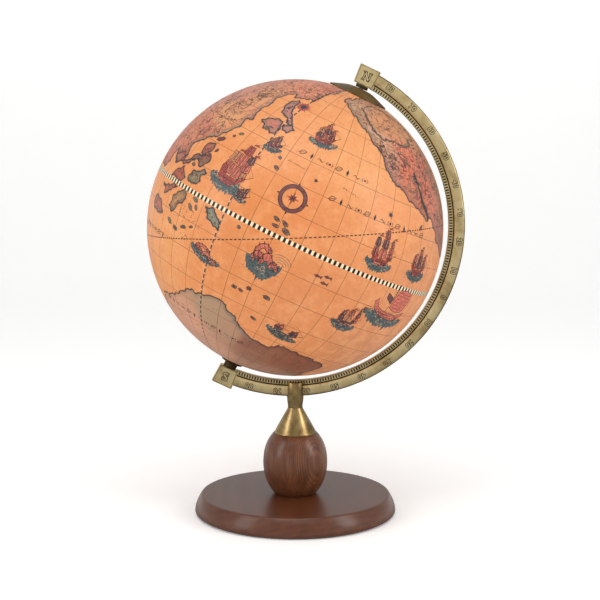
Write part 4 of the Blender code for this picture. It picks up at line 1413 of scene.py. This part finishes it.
def rose(press):
    """The compass ring: a dark band with four points, and a plain star in place of any name."""
    ring = [round_point(ROSE_BAND, 2 * math.pi * k / ROSE_STEPS) for k in range(ROSE_STEPS + 1)]
    press.line("plum", ring, 4.0)
    for share, ink, width in ((0.86, "dark", 0.7), (1.30 / 1.2, "tan", 0.35), (1.16, "dark", 0.6)):
        press.line(ink, [(x * share, y * share) for x, y in ring], width)
    for k in range(ROSE_TICKS):
        a = 2 * math.pi * (k + 0.5) / ROSE_TICKS
        press.line("tan", [round_point(0.97, a), round_point(1.15, a)], 0.28)
    for k in range(4):
        c, s = math.cos(math.pi / 2 * k), math.sin(math.pi / 2 * k)
        tip = [(x * c - y * s, x * s + y * c) for x, y in ((1.30, -0.10), (1.52, 0), (1.30, 0.10))]
        press.fill("dark", tip)
    for k in range(8):
        a, reach = math.pi / 4 * k, (0.62, 0.40)[k % 2]
        points = [(0, 0), round_point(0.18, a + 0.5), round_point(reach, a), round_point(0.18, a - 0.5)]
        press.fill(("red", "plum")[k % 2], points, "dark", 0.3)


def star(press, rays, ink, centre):
    """A star of long and short rays about a round centre."""
    for k in range(rays):
        a, reach, half = 2 * math.pi * k / rays, (1.0, 0.74)[k % 2], 2.8 / rays
        points = [round_point(0.36, a - half), round_point(reach, a), round_point(0.36, a + half)]
        press.fill(ink, points, "plum", 0.3)
    press.fill(centre, circle(0.30, 16), "dark", 0.4)


LEAF = [
    (-0.42, -0.20), (-0.16, 0.22), (0.10, 0.30), (0.44, 0.22), (0.20, -0.18), (-0.10, -0.28), (-0.42, -0.20),
]


def flourish_row(press, start, end, count, size):
    """A row of plain printer's ornaments, where the globe has a sea's name."""
    for k in range(count):
        t = k / (count - 1)
        press.at(start[0] + (end[0] - start[0]) * t, start[1] + (end[1] - start[1]) * t, 0, size)
        kind = k % 4
        if kind == 0:
            press.line("dark", LEAF, 0.08 * size)
            press.line("dark", [(-0.30, -0.14), (0.30, 0.14)], 0.07 * size)
        elif kind == 1:
            press.fill("dark", [(-0.16, 0), (0, 0.44), (0.16, 0), (0, -0.44)])
        elif kind == 2:
            curl = [(-0.42, -0.06), (-0.2, 0.16), (0, 0), (0.2, -0.16), (0.42, 0.06)]
            press.line("dark", curl, 0.10 * size, taper=True)
        else:
            press.fill("dark", circle(0.15, 8))
            for side in (-1, 1):
                press.line("dark", [(side * 0.26, -0.22), (side * 0.40, 0), (side * 0.26, 0.22)], 0.07 * size)


FAR_MASTS = (-0.2, 0.7, 0.3), (0.06, 1.0, 0.36), (0.3, 0.7, 0.24)  # of the ships on the far side
SHIPS = [
    # longitude, latitude, turn, size in mm, flip, masts, hull
    (215.5, 6.4, 0, 34, 1, ((-0.36, 0.80, 0.26), (0.0, 1.10, 0.34), (0.36, 0.82, 0.24)), "red"),
    (237.0, 7.2, 0, 34, 1, ((-0.36, 0.56, 0.26), (0.0, 0.82, 0.34), (0.36, 0.62, 0.26)), "red"),
    (175.5, 40.0, -8, 29, 1, ((-0.24, 0.66, 0.30), (0.04, 0.92, 0.36), (0.28, 0.66, 0.24)), "red"),
    (158.0, 28.4, -8, 20, 1, ((-0.2, 0.6, 0.4), (0.1, 0.8, 0.4)), "plum"),
    (215.2, -19.8, 4, 31, 1, ((-0.34, 0.50, 0.24), (0.0, 0.66, 0.30), (0.38, 0.84, 0.24)), "plum"),
    (149.4, 10.0, 4, 44, 1, ((-0.26, 0.80, 0.34), (0.02, 1.10, 0.42), (0.28, 0.86, 0.34)), "red"),
    (157.4, 6.6, 10, 17, 1, ((-0.2, 0.5, 0.4), (0.16, 0.74, 0.34)), "plum"),
    (92.0, -22.0, 0, 30, 1, FAR_MASTS, "red"),
    (330.0, 28.0, 0, 32, 1, FAR_MASTS, "red"),
    (345.0, -26.0, 0, 28, -1, FAR_MASTS[:2], "plum"),
    (265.0, -28.0, 0, 26, 1, FAR_MASTS[:2], "red"),
]
ISLES = [
    # longitude, latitude, width and height in mm, turn, ink of the heart
    (135, 22.0, 12, 5, -28, "olive"), (139.4, 25.3, 4, 3, 0, "plum"), (141.6, 27.3, 6, 3, -20, "tan"),
    (135.2, 14.6, 6, 4, -20, "olive"),
    (137.2, 17.4, 5, 3, -60, "olive"), (130.6, 8.8, 6, 3.5, 0, "plum"),
    (149.4, 34.2, 6, 4, 0, "plum"),
    (130.2, -13.9, 10, 4, 25, "coral"), (134.8, -15.2, 9, 4, 10, "plum"), (139.0, -13.2, 9, 3.4, -16, "plum"),
    (143.0, -11.6, 6, 3, -30, "plum"), (140.4, -1.9, 8, 4, 20, "coral"), (139.4, -5.2, 9, 4, 40, "coral"),
    (142.2, -4.4, 6, 3, 60, "tan"),
    (173.2, 5.6, 8, 3.4, 20, "plum"), (176.8, 5.2, 8, 4, 30, "plum"), (173.9, 3.2, 7, 3.4, 5, "plum"),
    (178.1, 2.9, 10, 5, 15, "plum"), (168.6, -24.2, 6, 4, 0, "plum"), (171.5, -24.3, 6, 3, 15, "plum"),
    (174.4, -22.2, 6, 4, 0, "olive"), (182.0, -22.5, 8, 4.5, 10, "plum"), (180.7, -33.3, 7, 3, 20, "plum"),
    (233.2, 23.6, 8, 3, -60, "plum"), (163.0, 26.0, 5, 3, 30, "plum"), (164.0, 22.0, 7, 4, 30, "plum"),
    (160.5, 30.0, 4, 3, 0, "olive"), (162.0, -3.0, 5, 3, 20, "plum"), (300.0, -52.0, 9, 5, 0, "olive"),
    (335.0, 38.0, 7, 4, 0, "plum"), (60.0, -20.0, 7, 4, 0, "olive"), (345.0, 15.0, 6, 4, 0, "plum"),
    (285.0, 20.0, 22, 6, 12, "coral"), (291.0, 18.0, 12, 6, 0, "olive"), (355.0, 28.0, 6, 3, 0, "plum"),
]
RANGES = [
    # path of hills, how many, spread in degrees
    ([(118, 12), (115, 25), (112, 34), (106, 43)], 34, 5.0),
    ([(121, 20), (124, 27), (129, 33)], 14, 2.0),
    ([(128, 42), (124, 48), (130, 58), (143, 66)], 40, 4.0),
    ([(150, 60), (148, 70), (165, 72)], 26, 3.0),
    ([(105, 10), (95, 25), (85, 40), (80, 55)], 40, 6.0),
    ([(204, 49.5), (212, 43.5), (219, 39.5), (228, 34.5), (235, 30.5)], 40, 1.7),
    ([(214, 47), (222, 43), (230, 43), (240, 38), (250, 30)], 60, 2.6),
    ([(240, 55), (248, 48), (256, 38), (262, 26)], 60, 4.0),
    ([(226, 52), (236, 50), (250, 60)], 24, 3.0),
    ([(198, 56), (203, 52.5), (210, 50)], 10, 0.8),
    ([(280, -2), (285, -20), (287, -45)], 34, 1.6),
    ([(10, 45), (40, 42), (70, 35), (100, 32)], 44, 3.0),
    ([(60, 60), (60, 50), (90, 50)], 24, 4.0),
    ([(20, -20), (30, 0), (38, 10)], 26, 3.0),
    ([(203, 50.5), (210, 47.5), (216, 43)], 34, 2.2), ([(219, 50), (226, 46)], 14, 2.0),
    ([(236, 52), (242, 42)], 20, 3.0),
    ([(133.5, -2), (129.5, -9)], 9, 0.8), ([(133, 17.5), (131.5, 15)], 5, 0.5),
    ([(128, 10.5), (136.5, 13)], 9, 0.5),
    ([(133, 5), (137, 6.5)], 8, 0.8), ([(123, 3), (127.5, 4)], 6, 0.7), ([(147, -3), (153, -6)], 7, 0.4),
    ([(146, 36), (153, 36.5)], 8, 1.2), ([(149, 49), (150, 43)], 5, 0.5),
    ([(113, -10), (121, -12.5)], 6, 0.6),
]
LINES = [
    [(122, 34), (122.4, 36), (121, 38.5), (119.5, 41)],
    [(124.8, 39), (125, 42), (125.2, 44), (126.2, 46), (134, 54)],
    [(110, 30), (116, 22), (121, 18)], [(104, 40), (112, 38), (118, 30), (128, 30)],
    [(132, 40), (126, 50), (118, 54)],
    [(140, 58), (130, 62), (120, 60)], [(152, 62), (146, 70), (130, 72)], [(116, 12), (110, 16), (104, 24)],
    [(226.5, 42), (220, 48), (214, 50)], [(236, 36), (240, 42), (236, 48), (226, 48)],
    [(250, 40), (244, 50), (252, 58)],
    [(228.9, 44), (236, 56), (230, 64)], [(208, 62), (216, 66), (230, 70)],
    [(300, -5), (310, -10), (318, -8)],
    [(290, -10), (300, -20), (302, -32)], [(30, 30), (32, 15), (30, 0)], [(0, 14), (10, 12), (20, 15)],
    [(78, 30), (88, 25), (90, 22)], [(15, 50), (25, 48), (30, 45)], [(270, 38), (275, 45), (262, 48)],
]


# What lies along the land's edge in the north east: bands of ink round a plateau, and a gulf.
PLATEAU_INNER = [
    (189.5, 68), (192, 66), (197.7, 58.6), (202.4, 55), (208, 53.4), (217.7, 55.3), (226.4, 54.6), (234, 57),
    (238.2, 60.6),
]
PLATEAU_UPPER = [(194.5, 71), (205, 74), (222, 73.5), (240, 70.5), (250, 66), (248, 61), (240, 59.5)]
GULF = [(229, 44), (231, 39.5), (233.5, 34), (238.4, 27.8)]
BEASTS = [
    # longitude, latitude, turn, size in mm, length, height, and whether it blows water
    (175.7, -10.8, 0, 38, 0.86, 1.0, True), (153.0, -18.6, 9, 32, 1.1, 0.55, False),
    (60.0, -45.0, 0, 38, 0.86, 1.0, True),
]
STARS = [
    # longitude, latitude, size in mm, rays, ink, ink of the centre
    (154.4, 50.8, 10.5, 16, "red", "navy"), (180.1, 24.1, 3.2, 6, "plum", "dark"),
    (214.4, 23.9, 4.4, 10, "plum", "dark"),
]
REEFS = [
    # longitude, latitude, spread in degrees, how many
    (135.5, -8.5, 3.6, 20), (142.8, -8.0, 2.0, 9), (133.5, 4.6, 2.0, 9), (146.5, -9.6, 1.4, 4),
    (140, -15.6, 2.4, 12),
]
FLOURISHES = [
    # (longitude, latitude) of both ends, how many, size in mm
    ((169.9, 32.0), (199.1, 32.0), 8, 9.0), ((188.5, 20.6), (234.0, 20.8), 13, 9.0),
    ((128, -46.0), (180, -49.0), 13, 8.0), ((108.5, -20.5), (127.0, -20.5), 6, 9.0),
    ((191.5, 26.0), (198.0, 25.0), 7, 2.6), ((166.8, 26.6), (173.8, 26.2), 8, 2.6),
    ((15.0, -48.0), (70.0, -36.0), 13, 7.0), ((325.0, 2.0), (352.0, -6.0), 9, 7.0),
]


def draw_map():
    """All the drawings; one sequence of random numbers runs through them, so their order matters."""
    press = Press()
    rng = random.Random(11)
    for path, count, spread in RANGES:
        hills(press, rng, path, count, spread)
    for path in LINES:
        wander(press, rng, path)
    for ink, width, sway in (("olive", 2.4, 0.5), ("plum", 1.5, 0.5), ("dark", 0.9, 0.6)):
        wander(press, rng, PLATEAU_INNER, ink, width, sway)
        wander(press, rng, PLATEAU_UPPER, ink, width * 0.7, sway)
    for ink, width in (("dark", 2.9), ("tan", 1.7)):
        wander(press, random.Random(3), GULF, ink, width, 0.2)
    for lon, lat, turn, size, flip, masts, hull in SHIPS:
        press.at(lon, lat, turn, size, flip)
        ship(press, rng, masts, hull)
    press.at(232.6, -11.2, 4, 40)
    galley(press, rng)
    press.at(195.6, -34.6, 10, 26)
    ship(press, rng, ((-0.30, 0.42, 0.40), (0.30, 0.46, 0.40)), "water", 1.05)
    for lon, lat, turn, size, long, tall, sprays in BEASTS:
        press.at(lon, lat, turn, size)
        sea_beast(press, rng, long, tall, sprays)
    press.at(197.0, -6.8, 0, 19)
    small_fish(press)
    press.at(175.2, 14.5, 0, 12.0)
    rose(press)
    for lon, lat, size, rays, ink, centre in STARS:
        press.at(lon, lat, 0, size)
        if ink == "red":
            press.fill("coral", circle(0.62, 24))
        star(press, rays, ink, centre)
    for place in ISLES:
        isle(press, rng, *place)
    for place in REEFS:
        dots(press, rng, *place)
    for row in FLOURISHES:
        flourish_row(press, *row)
    press.print()


build_map()
draw_map()

LOOKS = {
    "walnut": BASE_WOOD, "antique_brass": BRASS, "dark_brass": DARK_BRASS, "felt": FELT,
    "nylon": NYLON, "map_print": SHELL, "shell_plastic": SHELL,
}
for node, shown in frame["nodes"].items():
    slot = next((s["material_slot"] for s in frame["record"]["subparts"] if s["node"] == node), None)
    for holder in shown.material_slots:
        holder.material = LOOKS.get(slot, STEEL)


# ---------------------------------------------------------------- stage, light and camera


# In metres; the floor bends up into the wall with a radius of WALL_R.
FLOOR_HALF, WALL_Y, WALL_R, WALL_TOP = 6.0, 1.6, 0.8, 4.0


def build_stage():
    """A white floor and wall that glow a little, so that they stay white where the boxes don't reach."""
    floor = Look("floor", Roughness=0.7, Specular_IOR_Level=0.2, Emission_Strength=0.17)
    grain = floor.noise(floor.place(), 40.0, 3.0, 0.55)
    floor.out("Base Color", floor.mix(grain, rgb(250, 250, 250), rgb(255, 255, 255)))
    floor.out("Emission Color", rgb(255, 255, 255))
    bend = np.linspace(0.1, math.pi / 2, 12) - math.pi / 2
    profile = [(-FLOOR_HALF, 0.0), (WALL_Y, 0.0)]
    profile += [round_point(WALL_R, a, WALL_Y, WALL_R) for a in bend]
    profile.append((WALL_Y + WALL_R, WALL_TOP))
    made = bmesh.new()
    rows = [[made.verts.new((x, y, z)) for x in (-FLOOR_HALF, FLOOR_HALF)] for y, z in profile]
    for (a, b), (c, d) in zip(rows, rows[1:]):
        made.faces.new((a, b, d, c))
    mesh = as_mesh(made, "floor")
    mesh.polygons.foreach_set("use_smooth", [True] * len(mesh.polygons))
    mesh.materials.append(floor.material)
    stage = linked("floor", mesh)
    stage.visible_glossy = False


WORLD_GREYS = (
    # height from 0 straight down to 1 straight up, and shade
    (0.41, 0.34), (0.45, 0.66), (0.485, 1.0), (0.55, 0.62), (0.90, 0.46),
)
SOFT_BOXES = (
    # name, place, what it looks at, width and height in metres, power
    ("top_soft", (-0.1, -0.8, 2.0), (0, 0, 0.2), (1.5, 1.5), 15),
    ("left_soft", (-1.7, -0.9, 1.0), (0, 0, 0.3), (0.7, 1.5), 9),
    ("right_soft", (1.6, -0.75, 1.0), (0, 0, 0.3), (0.6, 1.3), 10),
)


def build_light():
    """A studio: brightest at eye level, grey overhead and dark below, with three soft boxes."""
    world = bpy.data.worlds.new("studio")
    world.use_nodes = True
    nodes, links = world.node_tree.nodes, world.node_tree.links
    height = nodes.new("ShaderNodeSeparateXYZ")
    links.new(nodes.new("ShaderNodeTexCoord").outputs["Generated"], height.inputs[0])
    ramp = nodes.new("ShaderNodeValToRGB")
    for _ in WORLD_GREYS[2:]:
        ramp.color_ramp.elements.new(0.5)
    for element, (place, grey) in zip(ramp.color_ramp.elements, WORLD_GREYS):
        element.position, element.color = place, (grey, grey, grey * 0.98, 1)
    shift = nodes.new("ShaderNodeMath")
    shift.operation = "MULTIPLY_ADD"
    shift.inputs[1].default_value = shift.inputs[2].default_value = 0.5
    links.new(height.outputs["Z"], shift.inputs[0])
    links.new(shift.outputs[0], ramp.inputs[0])
    links.new(ramp.outputs[0], nodes["Background"].inputs["Color"])
    bpy.context.scene.world = world
    for name, place, aim, size, power in SOFT_BOXES:
        data = bpy.data.lights.new(name, "AREA")
        data.shape, data.size, data.size_y = "RECTANGLE", *size
        data.energy = power
        light = linked(name, data)
        light.location = place
        light.rotation_euler = (Vector(aim) - Vector(place)).to_track_quat("-Z", "Y").to_euler()
    view = bpy.context.scene.view_settings
    view.view_transform, view.look = "Standard", "None"


CAMERA_PLACE, CAMERA_PITCH = (0.0054, -1.8000, 0.5133), 8.48  # metres, and degrees down
FILM_WIDTH, LENS = 36, 97.1  # mm


def build_camera():
    """The photo's camera, fitted to its ball, the arm's marks, the equator and the base."""
    data = bpy.data.cameras.new("camera")
    data.sensor_width, data.lens = FILM_WIDTH, LENS
    camera = linked("camera", data)
    camera.location = CAMERA_PLACE
    camera.rotation_euler = (math.radians(90 - CAMERA_PITCH), 0, 0)
    bpy.context.scene.camera = camera


build_stage()
build_light()
build_camera()
